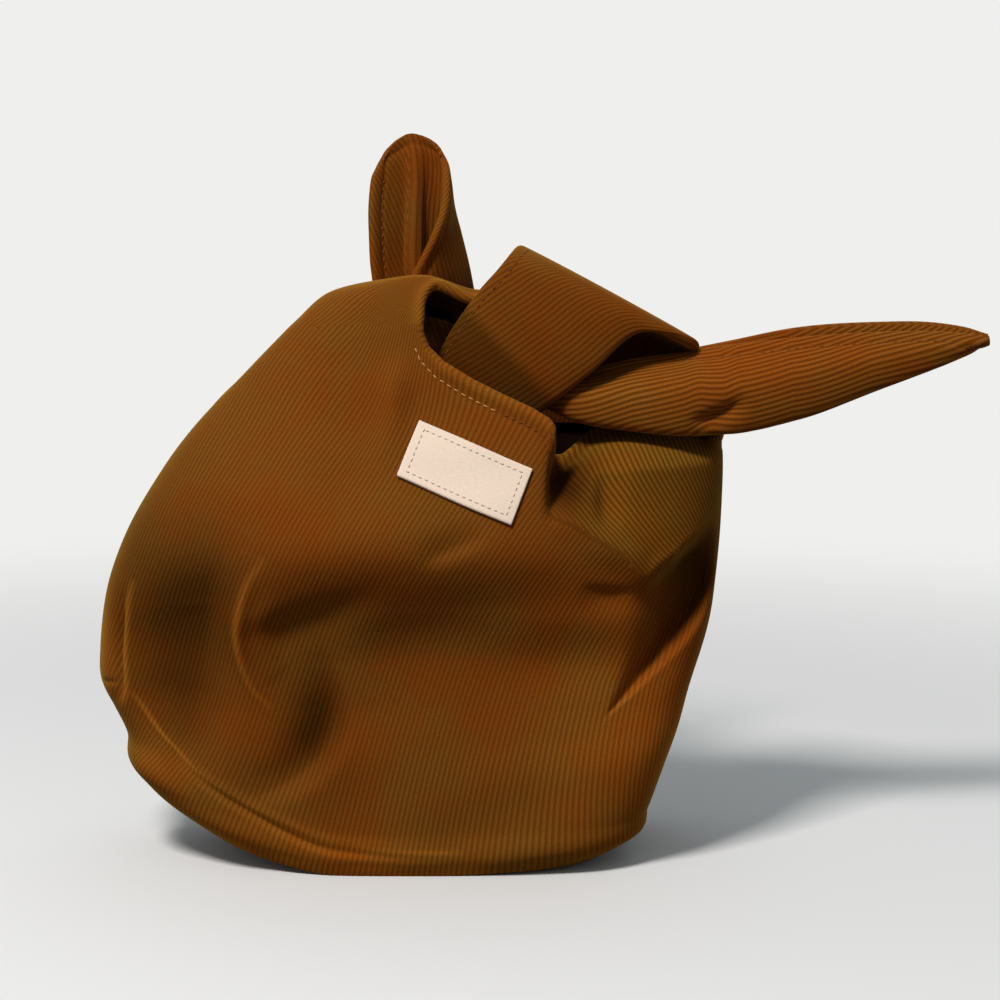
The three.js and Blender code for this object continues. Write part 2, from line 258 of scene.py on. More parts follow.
# Painted highlights along edges where the pile catches the light: the fold each goes with, how far beside
# its path, the reach and the colour added
PAINTED_HIGHLIGHT_LINES = [
    ("crescent", -0.6, 1.1, (0.75, 0.85, 0.75)),
    ("base_crease", 1.8, 0.9, (1.5, 1.8, 1.6)),
    ("left_tuck", 1.6, 1.0, (1.0, 1.2, 1.0)),
]
# The right facet, where the pile lies the other way: greener, partly as a painted tint of shade, with bolder
# wales
FACET_NAP_AND_SHADE = (0.92, 1.16, 1.0, 0.95)
# The facet's tint starts between these heights over its ridge and these places across, and the front's
# painted light and shade between these distances from the side seams
FACET_START = ((-2, 3), (57, 63))
PAINTED_LIGHT_FROM_SEAMS = (0, 12)
# Painted shade in the pleat: how deep the pleat is where the shade is darkest, and how much darker it is
# there
PLEAT_SHADE = (9.0, 0.45)
# How deep the pleat is where the lining lies straight behind it, and how far behind, as a share of its
# usual distance
PLEAT_LINING = (3.0, 2.6)

# The right facet of the front, where the cloth is folded back above a ridge
FACET_RIDGE = np.array([[53, 113], [58, 110.5], [74, 101], [81, 93], [90, 97], [103, 106], [125, 120]])
FACET_MIRROR = 98.0

# The wales of the panels: power of the place across, power of the height and weight of each term, and the
# span across in which they count
WALE_TERMS = [
    (1, 0, 97.04), (0, 1, -18.94), (2, 0, 6.88), (1, 1, 29.04), (0, 2, -10.85),
    (3, 0, -4.27), (2, 1, -11.75), (1, 2, -25.36), (0, 3, -3.52),
]
WALE_SPAN = (-95.0, 100.0)
# They stand steeper under the lip and at the lower right corner: how much, past which height, where across
LIP_WALES = (0.0114, 118, (-12, 24))
CORNER_WALES = (0.2, 60, (20, 90))

# The base's ends stand off the floor: where each starts to rise and how steeply
BASE_RISE_LEFT = (-14.0, 0.25)
BASE_RISE_RIGHT = (14.0, 0.05)
BASE_RISE_SOFT = 10
BASE_RISE_FADE = 60.0

# The right shoulder leans in under the long ear: how far, the heights, and where across it starts and ends
SHOULDER_IN = (25.0, (125, 140), (53, 68), (99, 107))

# The label on the front
LABEL_AT = (26.0, 125.5)
LABEL_SIZE = (36.6, 17.4)
LABEL_TURN = np.radians(-22.5)
LABEL_PROUD = 0.9
LABEL_HALF = 0.45

# Stitches: half the thread's thickness, the share of the pitch that shows, and where each line runs
THREAD = 0.23
STITCH_PITCH = 2.6
LABEL_PITCH = 2.1
STITCH_SHARE = 0.66
STITCH_SIDES = 6
# Rings of a stitch: place along its half length and thickness, and how far the ends dip, in threads
STITCH_PLACES = np.array([-1, -0.86, -0.5, 0, 0.5, 0.86, 1])
STITCH_THICKNESS = np.array([0.12, 0.66, 0.95, 1, 0.95, 0.66, 0.12])
STITCH_DIP = 1.2
LIP_GOLD = (0.0, 39.0)
LIP_BROWN = (39.0, 53.0)
RIGHT_STITCHES = (92.0, 186.0)
LEFT_STITCHES = (178.0, 214.0)
LABEL_STITCH_IN = 2.1
BAND_STITCH_COLUMNS = 5
BAND_STITCH_FROM = -10.0
BAND_STITCH_DOWN = 150.0
BORDER_SAMPLES = 40
# How far the lines on the lip, the label, the band and the ears lie out of the cloth, in threads
LIP_PROUD, BORDER_PROUD, BAND_PROUD, EAR_PROUD = 0.6, 0.5, 0.4, 0.3

# The left tie's hood: sections from its back edge over the left to its front edge
HOOD_SECTIONS = [
    [(7.5, 14.5, 177.5), (-8, 12, 178.2), (-17, -0.5, 178.6), (-8, -13, 178.6), (12, -17.5, 178)],
    [(11, 12, 179.5), (0, 9, 181.5), (-4, -0.5, 182), (1, -11, 182.5), (14.5, -15, 182)],
    [(17, 12, 177.5), (13, 8, 181), (12, 0, 183.2), (14, -8, 184.2), (19, -12.5, 182.8)],
    [(23, 11, 172.5), (24, 6, 177), (24.5, 0, 179.5), (26, -6, 180.3), (28, -10.5, 178.5)],
]
# Ribbon sections: middle, direction across, direction faced, width and bow
HOOD_END = [
    ((33, 0.25, 168.7), (-0.25, 0.55, -0.8), (0.2, 0.83, 0.5), 30, 4),
    ((46, -1, 160), (-0.5, 0, -0.86), (0, 1, 0), 30, 3),
    ((56, -2, 155), (-0.35, -0.3, -0.8), (0, 0.95, -0.3), 24, 4),
]
BAND_SECTIONS = [
    ((74, 14, 157), (0.95, 0, -0.2), (0, 1, 0), 59, 3),
    ((71, 9, 171), (0.88, 0, -0.45), (0.2, 0.9, 0.35), 61, 1),
    ((69.2, -9, 177.9), (0.881, -0.1, -0.473), (0.45, -0.1, 0.88), 59, 0.5),
    ((60.2, -15.5, 179), (0.866, -0.05, -0.5), (0.3, -0.8, 0.5), 44, 2.5),
    ((51, -16.5, 170.8), (0.68, -0.08, -0.733), (0, -1, 0), 40, 2),
    ((39.9, -13, 160.2), (0.528, -0.05, -0.849), (0, -1, 0), 38.3, 2),
    ((30, -10, 149), (0.6, 0, -0.8), (0, -0.95, -0.2), 32, 3),
    ((27, -4, 141), (0.95, 0, -0.3), (0, -0.6, -0.8), 28, 3),
    ((27, 5, 139.5), (1, 0, 0), (0, 0, -1), 26, 3),
]
EAR_HALF = 1.3
EAR_HEM_IN = 3.4
EAR_HEM_GROOVE = 0.45
# The ears thin out to this share towards their tips, over this length
EAR_THIN = (0.6, 8)
LEFT_EAR_ROOT = [
    ((27, 5, 139.5), (1, 0, 0), (0, 0, -1), 26, 3),
    ((27, 17, 147), (1, 0, 0), (0, 0.8, -0.6), 26, 3),
    ((20, 27, 161), (0.97, -0.1, 0.2), (0, 1, 0), 27, 4),
]
# The band is sewn on inside the back panel: from where to where across, and the heights of its first rows
# and how far inside the wall they lie
BAND_START = (46.0, 107.0)
BAND_TUCK = [(128.0, 2.4), (134.0, 2.2), (140.0, 1.7)]
# The left ear: the section at each height from its left edge, back into the cup, over a soft ridge and
# round to the flap that is folded forward on the right
LEFT_EAR_LEVELS = {
    174: [(-2, 25), (4, 30), (8, 32), (9.6, 28.8), (11.4, 29.4), (14, 34), (23, 37), (27.5, 31), (21, 19),
          (6, 12)],
    184: [(-4, 26), (2, 31.5), (6, 33.8), (7.8, 30.4), (9.6, 31), (12.4, 35.4), (21.5, 38.5), (25.7, 32.5),
          (20, 21), (10.3, 13.5)],
    195: [(-4.7, 28), (1, 33), (5.9, 35.8), (7.7, 32.6), (9.4, 33.2), (12, 37.2), (19.5, 40), (23, 34.5),
          (20, 25), (15.7, 16.5)],
    204: [(-4.9, 30), (1, 35), (6.1, 37.5), (7.9, 34.8), (9.4, 35.3), (11.8, 38.6), (18, 40.5),
          (20.6, 36.5), (20, 29.5), (18.8, 22)],
    213: [(-4.2, 33), (1.2, 37.2), (6.4, 39.2), (8.2, 37.4), (9.6, 37.8), (12, 40), (16.6, 41),
          (19.2, 38.8), (19.6, 34.5), (19.4, 29.5)],
}
# Its last sections, which round off the tip
LEFT_EAR_TIP = [
    [(-2.9, 35.5, 217.8), (0.6, 38.4, 221), (5, 40.2, 223), (7.4, 39.8, 223.5), (9.4, 40, 223.6),
     (12, 40.8, 223.2), (15.4, 40.6, 222), (17.4, 39.4, 220.8), (18.2, 37.4, 219.8), (18.5, 35.2, 219)],
    [(-1.1, 37, 221.2), (1, 38.8, 224.2), (3.8, 40, 226.6), (6.2, 40.4, 227.8), (8.6, 40.5, 228),
     (11, 40.5, 227.4), (13.6, 40.2, 226), (15.3, 39.6, 224.6), (16.6, 38.6, 223), (17.3, 37.4, 221.4)],
]
# The right ear: the section at each place across, from its front edge down, round the fold and up the back
RIGHT_EAR_SECTIONS = {
    50: [(-7, 152), (-9, 148), (-6, 144), (-1, 148), (1, 152)],
    62: [(-6, 153), (-15.5, 145.5), (-15, 140.5), (-2, 145), (2, 152)],
    78: [(-6, 156.5), (-18.5, 147), (-18, 138), (-2, 147), (3, 155.5)],
    95: [(-6.5, 158.7), (-20, 149), (-19, 136.4), (-3, 148), (3, 158.6)],
    110: [(-9, 161.2), (-19.5, 149.5), (-18, 136.9), (-3, 149), (1, 161.8)],
    130: [(-10.5, 163.7), (-18.5, 153), (-17, 141.2), (-3, 153), (1, 165.8)],
    155: [(-9.5, 165.3), (-15.5, 157.8), (-14.5, 150.2), (-4, 158.5), (-1, 167.8)],
    175: [(-8.5, 165.4), (-12, 161.3), (-11.3, 157.3), (-5, 161.8), (-3, 167.7)],
    186: [(-9, 164.6), (-10.2, 162.9), (-8.8, 161.4), (-6.6, 163.2), (-5.4, 166)],
    190.3: [(-8.8, 164.5), (-9.2, 163.6), (-8.4, 162.9), (-7.6, 163.7), (-7.2, 165)],
}
# A crease under the right ear, told as the folds are
EAR_CREASE = ([(94, 138.5), (101, 140.5), (108, 143.5), (115, 148)], 3.4, 2.2, 3.2)
# Painted shade on the left ear's root in the knot: heights between which its front darkens, how much, how
# much higher this reaches on the right, where that starts across, and how far forward the cloth faces
ROOT_PAINTED_SHADE = (168.0, 184.0, 0.9, 18.0)
ROOT_RIGHT = (13, 19)
ROOT_FACING = (-0.2, 0.5)
# The right ear's painted light, which makes it lighter, and the contrast of its wales
EAR_PAINTED_LIGHT_AND_WALES = (1.12, 1.14, 1.2, 1.1)
# Painted shadow of the hood on the band's lower left: a line across it, its reach, the colour taken away,
# and the depths between which the band's front begins
BAND_PAINTED_SHADOW = ((27.0, 173.5), (51.0, 148.5), 3.0, (0.54, 0.45, 0.5))
BAND_FRONT = (-4, -9)
# How far a ribbon's section bends round, to each side
SECTION_ARC = 1.2
# How far the wales on a tube's back face are shifted against those on its front
BACK_FACE_SHIFT = 0.4
# How the wales lean away from the edge of the band and of the left ear, the share across the ear after
# which they stand upright, how far apart they lie there, and how far they have moved towards the fold of
# the right ear at each length along it
BAND_LEAN = -0.08
LEFT_EAR_LEAN = 0.4
LEFT_EAR_RIDGE = 0.32
LEFT_EAR_SKEW = 0.85
RIGHT_EAR_WALES = ([0.0, 30.0, 55.0, 80.0, 105.0, 145.0], [0.0, 12.0, 19.5, 22.0, 20.5, 14.5])
# The wales of the hood lean as the panel's do where it starts: slope, and the length over which it fades
HOOD_LEAN = (0.86, 30.0)
HOOD_SKEW = 0.8

# Floor and surroundings: radii of the floor's rings in metres, its own tone for light that bounces and its
# display colour, and the distances from the middle between which it fades to the background's colour
FLOOR_RINGS = ((0.0005, 1.0, 20), (1.2, 6.0, 16))
FLOOR_BOUNCE = (0.2, 0.2, 0.2, 1.0)
FLOOR_COLOUR = (216, 218, 221)
FLOOR_FADE = (0.2, 0.7)
PALE = (239, 239, 237)
# The surroundings grow from front to back, so that the back isn't left dark: span, strengths and colour
SKY = (0.0, 0.8, 0.27, 0.75)
SKY_COLOUR = (0.94, 1.0, 1.0, 1)
# The key light: its place and aim in metres, size, power and colour
KEY_LIGHT = ((-0.5, -0.8, 1.38), (0.02, 0.0, 0.1), 0.35, 26.0, (1.0, 0.95, 0.89))

# Camera: its target, distance and rise, the width of the view at its target, and its sensor
CAMERA_TARGET = np.array([36.8, 0.0, 112.0])
CAMERA_DISTANCE = 850.0
CAMERA_RISE = np.radians(8.0)
CAMERA_VIEW = 320.0
SENSOR = 36.0


def smooth_through(knots, values, at):
    """Cubic Hermite curve through the values at the knots, with slopes from the neighbouring knots."""
    knots, values, at = np.asarray(knots, float), np.asarray(values, float), np.asarray(at, float)
    slopes = np.gradient(values, knots, axis=0)
    low = np.clip(np.searchsorted(knots, at) - 1, 0, len(knots) - 2)
    gap = knots[low + 1] - knots[low]
    t = np.clip((at - knots[low]) / gap, 0, 1)
    if values.ndim > 1:
        t, gap = t[..., None], gap[..., None]
    t2, t3 = t * t, t * t * t
    return ((2 * t3 - 3 * t2 + 1) * values[low] + (t3 - 2 * t2 + t) * gap * slopes[low]
            + (3 * t2 - 2 * t3) * values[low + 1] + (t3 - t2) * gap * slopes[low + 1])


def ramp(low, high, value):
    """Smooth step from 0 at low to 1 at high."""
    t = np.clip((value - low) / (high - low), 0, 1)
    return t * t * (3 - 2 * t)


def unit(vectors):
    """Each vector divided by its length."""
    return vectors / np.maximum(np.linalg.norm(vectors, axis=-1, keepdims=True), 1e-9)


def grid_normals(grid):
    """Unit normals of a grid of points: the cross product of its steps across and its steps along."""
    return unit(np.cross(np.gradient(grid, axis=0), np.gradient(grid, axis=1)))


def arc_lengths(grid, axis):
    """Running length along one direction of a grid of points, from 0 at its first line."""
    steps = np.linalg.norm(np.diff(grid, axis=axis), axis=-1)
    first = np.zeros_like(np.take(steps, [0], axis=axis))
    return np.concatenate([first, np.cumsum(steps, axis=axis)], axis=axis)


def grid_quads(across, along, closed):
    """Corner numbers of the faces between neighbouring lines of a grid, joined round where it is closed."""
    number = np.arange(across * along).reshape(across, along)
    if closed:
        number = np.concatenate([number, number[:1]])
    return np.stack([number[:-1, :-1], number[1:, :-1], number[1:, 1:], number[:-1, 1:]], -1).reshape(-1, 4)


def make_piece(name, points, quads, cloth, material, flat=None, nap_and_painted_light=None):
    """A mesh object from points in millimetres, four-cornered faces and the cloth's own coordinates at each
    face corner. All faces are smooth except those marked flat. The last argument is painted light and shade:
    how much of each colour is kept at each point, and as its fourth value how much the wales stand out."""
    mesh = bpy.data.meshes.new(name)
    mesh.vertices.add(len(points))
    mesh.vertices.foreach_set("co", (points * MM).astype(np.float32).ravel())
    mesh.loops.add(quads.size)
    mesh.loops.foreach_set("vertex_index", quads.astype(np.int32).ravel())
    mesh.polygons.add(len(quads))
    mesh.polygons.foreach_set("loop_start", np.arange(len(quads), dtype=np.int32) * 4)
    mesh.polygons.foreach_set("use_smooth", np.ones(len(quads), dtype=bool) if flat is None else ~flat)
    layer = mesh.uv_layers.new(name="cloth")
    layer.data.foreach_set("uv", cloth.astype(np.float32).ravel())
    # Painted light and shade, as factors on red, green and blue, with the wales' contrast as a fourth value
    pile_and_painted_light = np.full((len(points), 4), PLAIN_NAP, dtype=np.float32)
    if nap_and_painted_light is not None:
        pile_and_painted_light[:, :nap_and_painted_light.shape[-1]] = nap_and_painted_light.reshape(len(points), -1)
    mesh.attributes.new("nap_and_painted_light", "FLOAT_COLOR", "POINT").data.foreach_set("color", pile_and_painted_light.ravel())
    mesh.update(calc_edges=True)
    mesh.validate()
    mesh.materials.append(material)
    piece = bpy.data.objects.new(name, mesh)
    bpy.context.scene.collection.objects.link(piece)
    return piece


def cloth_piece(name, grid, cloth, material, flat=None, nap_and_painted_light=None):
    """An open sheet over a grid of points. Its cloth coordinates are millimetres across and along the
    wales."""
    across, along = grid.shape[:2]
    quads = grid_quads(across, along, False)
    return make_piece(name, grid.reshape(-1, 3), quads, cloth.reshape(-1, 2)[quads], material, flat, nap_and_painted_light)


def tube_piece(name, ring, cloth, material, nap_and_painted_light=None):
    """A flattened tube: rings of points joined round, with each end closed flat. The ring's first half is
    the front face and its second half runs back behind it."""
    around, along = ring.shape[:2]
    quads = grid_quads(around, along, True)
    corners = grid_quads(around + 1, along, False)
    uv = cloth.reshape(-1, 2)[corners]
    half = np.arange(around // 2 - 1)
    front, behind = half * along, (around - 1 - half) * along
    start = np.stack([front, behind, behind - along, front + along], -1)
    end = np.stack([front, front + along, behind - along, behind], -1) + along - 1
    caps = np.concatenate([start, end])
    flat = np.arange(len(quads) + len(caps)) >= len(quads)
    quads = np.concatenate([quads, caps])
    uv = np.concatenate([uv, cloth.reshape(-1, 2)[caps]])
    return make_piece(name, ring.reshape(-1, 3), quads, uv, material, flat, nap_and_painted_light)


def reach_at(height):
    """The sack's reach to the left, right, front and back and its squareness on both sides at a height."""
    return np.moveaxis(smooth_through(WALL_LEVELS[:, 0], WALL_LEVELS[:, 1:], height), -1, 0)


def wall(side, angle, height):
    """The sack's plain wall: at each height a superellipse, whose halves reach differently to front and
    back."""
    left, right, front, back, left_square, right_square = reach_at(height)
    cosine, sine = np.cos(angle), np.sin(angle)
    power = 2 / np.where(cosine < 0, left_square, right_square)
    x = (right - left) / 2 + np.sign(cosine) * np.abs(cosine) ** power * (right + left) / 2
    y = side * np.abs(sine) ** power * (front if side == FRONT else back)
    return np.stack([x, y, np.broadcast_to(height, x.shape)], -1)


def wall_at(side, x, height):
    """The sack's plain wall straight before or behind a place seen from the front."""
    left, right, front, back, left_square, right_square = reach_at(height)
    across = np.clip((x - (right - left) / 2) / ((right + left) / 2), -0.9999, 0.9999)
    square = np.where(across < 0, left_square, right_square)
    depth = (1 - np.abs(across) ** square) ** (1 / square)
    return np.stack([x, side * depth * (front if side == FRONT else back), height], -1)


def path_distance(x, z, path):
    """Distance from a smooth path, the share of the path gone at the nearest place, and how far to the left
    of it a place lies: from 0 on its right, through a half straight beyond its ends, to 1 on its left. The
    nearest of some samples is found first, and then the place is projected onto the path's direction
    there."""
    path = np.asarray(path, float)
    along = np.linspace(0, 1, PATH_SAMPLES)
    line = smooth_through(np.linspace(0, 1, len(path)), path, along)
    speed = np.linalg.norm(np.gradient(line, along, axis=0), axis=1)
    heading = unit(np.gradient(line, axis=0))
    squares = (x.ravel()[:, None] - line[:, 0]) ** 2 + (z.ravel()[:, None] - line[:, 1]) ** 2
    near = squares.argmin(1).reshape(x.shape)
    away = np.sqrt(squares.min(1)).reshape(x.shape)
    right, up = x - line[near, 0], z - line[near, 1]
    ahead = heading[near, 0] * right + heading[near, 1] * up
    aside = heading[near, 0] * up - heading[near, 1] * right
    beyond = ((near == 0) & (ahead < 0)) | ((near == PATH_SAMPLES - 1) & (ahead > 0))
    away = np.where(beyond, away, np.abs(aside))
    gone = np.clip(along[near] + ahead / speed[near], 0, 1)
    return away, gone, 0.5 + 0.5 * np.clip(aside / np.maximum(away, 1e-6), -1, 1)


def fold_height(x, z, path, depth, left, right, puff=0.0, puff_at=1.0, puff_reach=1.0):
    """One fold: minus its depth on the path, falling away as a bell whose reach differs on the two sides,
    and a puffed bell beside it. Both fade out towards the ends of the path."""
    away, along, leftness = path_distance(x, z, path)
    fade = ramp(0, FOLD_END, along) * ramp(1, 1 - FOLD_END, along)
    height = -depth * np.exp(-(away / (right + (left - right) * leftness)) ** 2)
    return (height + puff * np.exp(-((away * (2 * leftness - 1) - puff_at) / puff_reach) ** 2)) * fade


def pleat_height(x, z, path, depth, left, right, puff, puff_at):
    """A pleat that opens from its tip: its depth, its reach and the puffed cloth on its right all grow with
    the share of the path gone."""
    away, along, leftness = path_distance(x, z, path)
    grown = np.maximum(along, PLEAT_START)
    valley = -depth * grown * np.exp(-(away / ((right + (left - right) * leftness) * grown)) ** 2)
    beside = away * (2 * leftness - 1) + puff_at
    return valley + puff * grown * np.exp(-(beside / (PLEAT_PUFF * puff_at)) ** 2)


def ripple(x, z, size, seed):
    """Gentle unevenness of slack cloth: a sum of waves in several directions, from a fixed seed."""
    chance = np.random.default_rng(seed)
    total = np.zeros_like(x)
    for _ in range(RIPPLE_WAVES):
        heading = chance.uniform(0, np.pi)
        length = chance.uniform(*RIPPLE_LENGTHS)
        shift = chance.uniform(0, 2 * np.pi)
        wave = np.sin((x * np.cos(heading) + z * np.sin(heading)) * 2 * np.pi / length + shift)
        total += wave * length / RIPPLE_USUAL
    return total * size


def folds_at(side, x, z):
    """How far a panel's cloth stands out from the plain wall: all its folds and the ripple together."""
    height = ripple(x, z, *RIPPLES[side])
    for fold in (FOLDS if side == FRONT else BACK_FOLDS).values():
        height = height + fold_height(x, z, *fold)
    return height


def over_facet(x, z):
    """Height above the ridge under the right facet."""
    return z - np.interp(x, FACET_RIDGE[:, 0], FACET_RIDGE[:, 1])


def front_nap_and_painted_light(x, z):
    """Painted light and shade on the front, as factors on red, green and blue, with as a fourth value how
    much its wales stand out. Patches of it and painted highlights along edges are added as soft bells, the
    pleat gets painted shade, and the right facet, where the fibres lie the other way, is greener, partly as
    painted shade."""
    nap_and_painted_light = np.ones((*x.shape, 3))
    # Patches of painted shade and painted light
    for across, up, width, height, change in PAINTED_LIGHT_PATCHES:
        bell = np.exp(-((x - across) / width) ** 2 - ((z - up) / height) ** 2)
        nap_and_painted_light = nap_and_painted_light + bell[..., None] * change
    # Painted highlights along the edges of some folds
    for fold, beside, reach, change in PAINTED_HIGHLIGHT_LINES:
        away, along, leftness = path_distance(x, z, FOLDS[fold][0])
        bell = np.exp(-((away * (2 * leftness - 1) - beside) / reach) ** 2) * np.sin(np.pi * along) ** 0.5
        nap_and_painted_light = nap_and_painted_light + bell[..., None] * change
    facet = ramp(*FACET_START[0], over_facet(x, z))
    # Painted shade in the pleat, outside the facet
    in_pleat = np.clip(-pleat_height(x, z, *SIDE_PLEAT) / PLEAT_SHADE[0], 0, 1) * (1 - facet)
    nap_and_painted_light = nap_and_painted_light * (1 - PLEAT_SHADE[1] * in_pleat[..., None])
    nap_and_painted_light = np.concatenate([nap_and_painted_light, np.full((*x.shape, 1), PLAIN_NAP[3])], axis=-1)
    # On the facet the cloth turns greener, partly as painted shade, and its wales stand out more
    facet = facet * ramp(*FACET_START[1], x)
    return nap_and_painted_light * (1 + facet[..., None] * (np.array(FACET_NAP_AND_SHADE) / PLAIN_NAP - 1))


def rim_height(rim, side, angle):
    """Height at which the wall meets its rim line at each angle, found by halving."""
    low, high = np.zeros_like(angle), np.full_like(angle, WALL_LEVELS[-1, 0])
    for _ in range(HALVINGS):
        middle = (low + high) / 2
        under = middle < np.interp(wall(side, angle, middle)[..., 0], rim[:, 0], rim[:, 1])
        low, high = np.where(under, middle, low), np.where(under, high, middle)
    return high


def wale_place(x, z, fold_back):
    """Millimetres across the wales: a cubic polynomial of the place in units of 100 mm, which makes the
    wales lean to the right, more so higher up, and a plain distance beyond its span. Above the ridge of the
    right facet the cloth is folded back, so the wales are mirrored there."""
    if fold_back:
        z = np.where((over_facet(x, z) > 0) & (x > FACET_RIDGE[0, 0]), 2 * FACET_MIRROR - z, z)
    inside = np.clip(x, *WALE_SPAN)
    total = x - inside
    for x_power, z_power, weight in WALE_TERMS:
        total = total + weight * (inside / 100) ** x_power * (z / 100) ** z_power
    lip, lip_height, lip_across = LIP_WALES
    corner, corner_height, corner_across = CORNER_WALES
    total = total + lip * np.maximum(z - lip_height, 0) ** 2 * ramp(*lip_across, x)
    return total + corner * np.minimum(z - corner_height, 0) * ramp(*corner_across, x)


def base_rise(x):
    """How far the base stands off the floor at each place across: nothing in the middle, and a soft slope
    out to each end."""
    total = 0
    for way, (start, slope) in ((-1, BASE_RISE_LEFT), (1, BASE_RISE_RIGHT)):
        out = np.maximum(way * (x - start), 0)
        total = total + slope * out * out / (out + BASE_RISE_SOFT)
    return total


def panel_grid(side):
    """Grid of one panel: out along the base from its seam to its edge, then up the wall to the rim. Columns
    are spaced evenly round the belly, and the folds move the wall along its normals. With it come the
    cloth's coordinates, the rim's heights, the painted light and shade with the wales' contrast, and the
    directions in which the lining lies behind it."""
    start = np.pi if side == FRONT else 0.0
    fine = np.linspace(start, start + np.pi, FINE_SAMPLES)
    length = arc_lengths(wall(side, fine, np.full_like(fine, BELLY_HEIGHT)), 0)
    angle = np.interp(np.linspace(0, length[-1], PANEL_COLUMNS), length, fine)
    rise = np.linspace(0, 1, WALL_ROWS) ** ROW_POWER
    rim = FRONT_RIM if side == FRONT else BACK_RIM
    top = rim_height(rim, side, angle)
    plain = wall(side, angle[:, None] + 0 * rise, top[:, None] * rise)
    edge = plain[:, 0]
    middle = edge[:, 0].mean()
    seam = np.stack([middle + (edge[:, 0] - middle) * BASE_SEAM_SHARE,
                     BASE_SEAM_BOW * np.sin(angle) ** 4, np.zeros_like(angle)], -1)
    share = np.linspace(0, 1, BASE_ROWS, endpoint=False)[:, None]
    base = seam[:, None] * (1 - share) + edge[:, None] * share
    normals = grid_normals(plain)
    normals[0] = unit(normals[0] * [1, 0, 1])
    normals[-1] = unit(normals[-1] * [1, 0, 1])
    x, z = plain[..., 0], plain[..., 2]
    round_it = arc_lengths(plain * [1, 1, 0], 0)
    from_seam = np.minimum(round_it, round_it[-1:] - round_it)
    height = folds_at(side, x, z) * ramp(0, FOLD_FADE[0], from_seam) * ramp(0, FOLD_FADE[1], z)
    seam_groove = np.exp(-(from_seam / SIDE_SEAM_REACH) ** 2) * ramp(0, SIDE_SEAM_FLOOR, z)
    height = (height - SIDE_SEAM_DEPTH * seam_groove) * (1 - ramp(*FOLD_FADE[2], z))
    from_rim = np.maximum(top[:, None] - z, 0)
    hemmed = (1 - ramp(STRAP_HEIGHT - HEM_END[0], STRAP_HEIGHT - HEM_END[1], top))[:, None]
    height = height + hemmed * (HEM_RAISE[0] * np.exp(-(from_rim / HEM_RAISE[1]) ** 2)
                                - HEM_GROOVE[0] * np.exp(-((from_rim - HEM_STITCH_IN) / HEM_GROOVE[1]) ** 2))
    walls = plain + normals * height[..., None]
    nap_and_painted_light = np.tile(PLAIN_NAP, (*x.shape, 1))
    behind = -normals
    if side == FRONT:
        bulge = np.abs(plain[..., 1]) / reach_at(z)[2]
        free = ramp(*SEAM_HOLD, bulge) * (1 - ramp(*PLEAT_END, over_facet(x, z)))
        pleat = pleat_height(x, z, *SIDE_PLEAT) * free
        walls[..., 1] -= pleat
        inwards, heights, starts, ends = SHOULDER_IN
        walls[..., 1] += inwards * ramp(*heights, z) * ramp(*starts, x) * (1 - ramp(*ends, x))
        # Painted light and shade of the front, faded out near the side seams
        nap_and_painted_light = nap_and_painted_light + (front_nap_and_painted_light(x, z) - nap_and_painted_light) * ramp(*PAINTED_LIGHT_FROM_SEAMS, from_seam)[..., None]
        pressed = (np.clip(-pleat / PLEAT_LINING[0], 0, 1) * free)[..., None]
        behind = behind * (1 - pressed) + np.array([0.0, PLEAT_LINING[1], 0.0]) * pressed
    grid = np.concatenate([base, walls], axis=1)
    grid[..., 2] += base_rise(grid[..., 0]) * (1 - ramp(0, BASE_RISE_FADE, grid[..., 2]))
    centre = np.abs(angle - start - np.pi / 2).argmin()
    flat_x = -side * (round_it - round_it[centre]) + plain[centre, :, 0]
    wale = wale_place(-side * flat_x, z, side == FRONT)
    wale = np.concatenate([np.repeat(wale[:, :1], BASE_ROWS, 1), wale], axis=1)
    cloth = np.stack([wale, arc_lengths(grid, 1)], -1)
    # Painted highlight along the rim of the mouth
    nap_and_painted_light[..., :3] += (hemmed * np.exp(-(from_rim / RIM_HIGHLIGHT[0]) ** 2))[..., None] * RIM_HIGHLIGHT[1]
    nap_and_painted_light = np.concatenate([np.repeat(nap_and_painted_light[:, :1], BASE_ROWS, 1), nap_and_painted_light], axis=1)
    inward = np.concatenate([np.tile([0.0, 0.0, 1.0], (PANEL_COLUMNS, BASE_ROWS, 1)), behind], axis=1)
    return grid, cloth, top, nap_and_painted_light, inward


def turned_hem(grid, cloth, tied):
    """A panel's rim turned over: from the top row a half circle leads over to the inside, and a facing runs
    down behind it. Where a tie is sewn on, the cloth only ends."""
    normal = grid_normals(grid)[:, -1]
    rim = grid[:, -1]
    edge = unit(np.gradient(rim, axis=0))
    over = unit(np.cross(normal, edge))
    over = over * np.where((over * unit(grid[:, -1] - grid[:, -3])).sum(-1, keepdims=True) < 0, -1, 1)
    radius = np.where(tied, HEM_TIED[0], HEM_ROUND)[:, None]
    turns = np.linspace(0, np.pi, HEM_ROWS[0] + 1)[1:]
    roll = [rim + radius * (np.sin(a) * over - (1 - np.cos(a)) * normal) for a in turns]
    narrow, starts, ends = HEM_NARROW
    held = 1 - narrow * ramp(*starts, rim[:, 0]) * (1 - ramp(*ends, rim[:, 0]))
    share = np.where(tied, HEM_TIED[1], held)[:, None]
    face = [roll[-1] - (over + normal * HEM_LEAN) * share * down
            for down in np.linspace(0, HEM_FACING, HEM_ROWS[1] + 1)[1:]]
    extra = np.stack(roll + face, 1)
    whole = np.concatenate([grid, extra], 1)
    run = cloth[:, -1:, 1] + arc_lengths(np.concatenate([grid[:, -1:], extra], 1), 1)[:, 1:]
    wale = np.repeat(cloth[:, -1:, 0], extra.shape[1], 1)
    return whole, np.concatenate([cloth, np.stack([wale, run], -1)], 1)


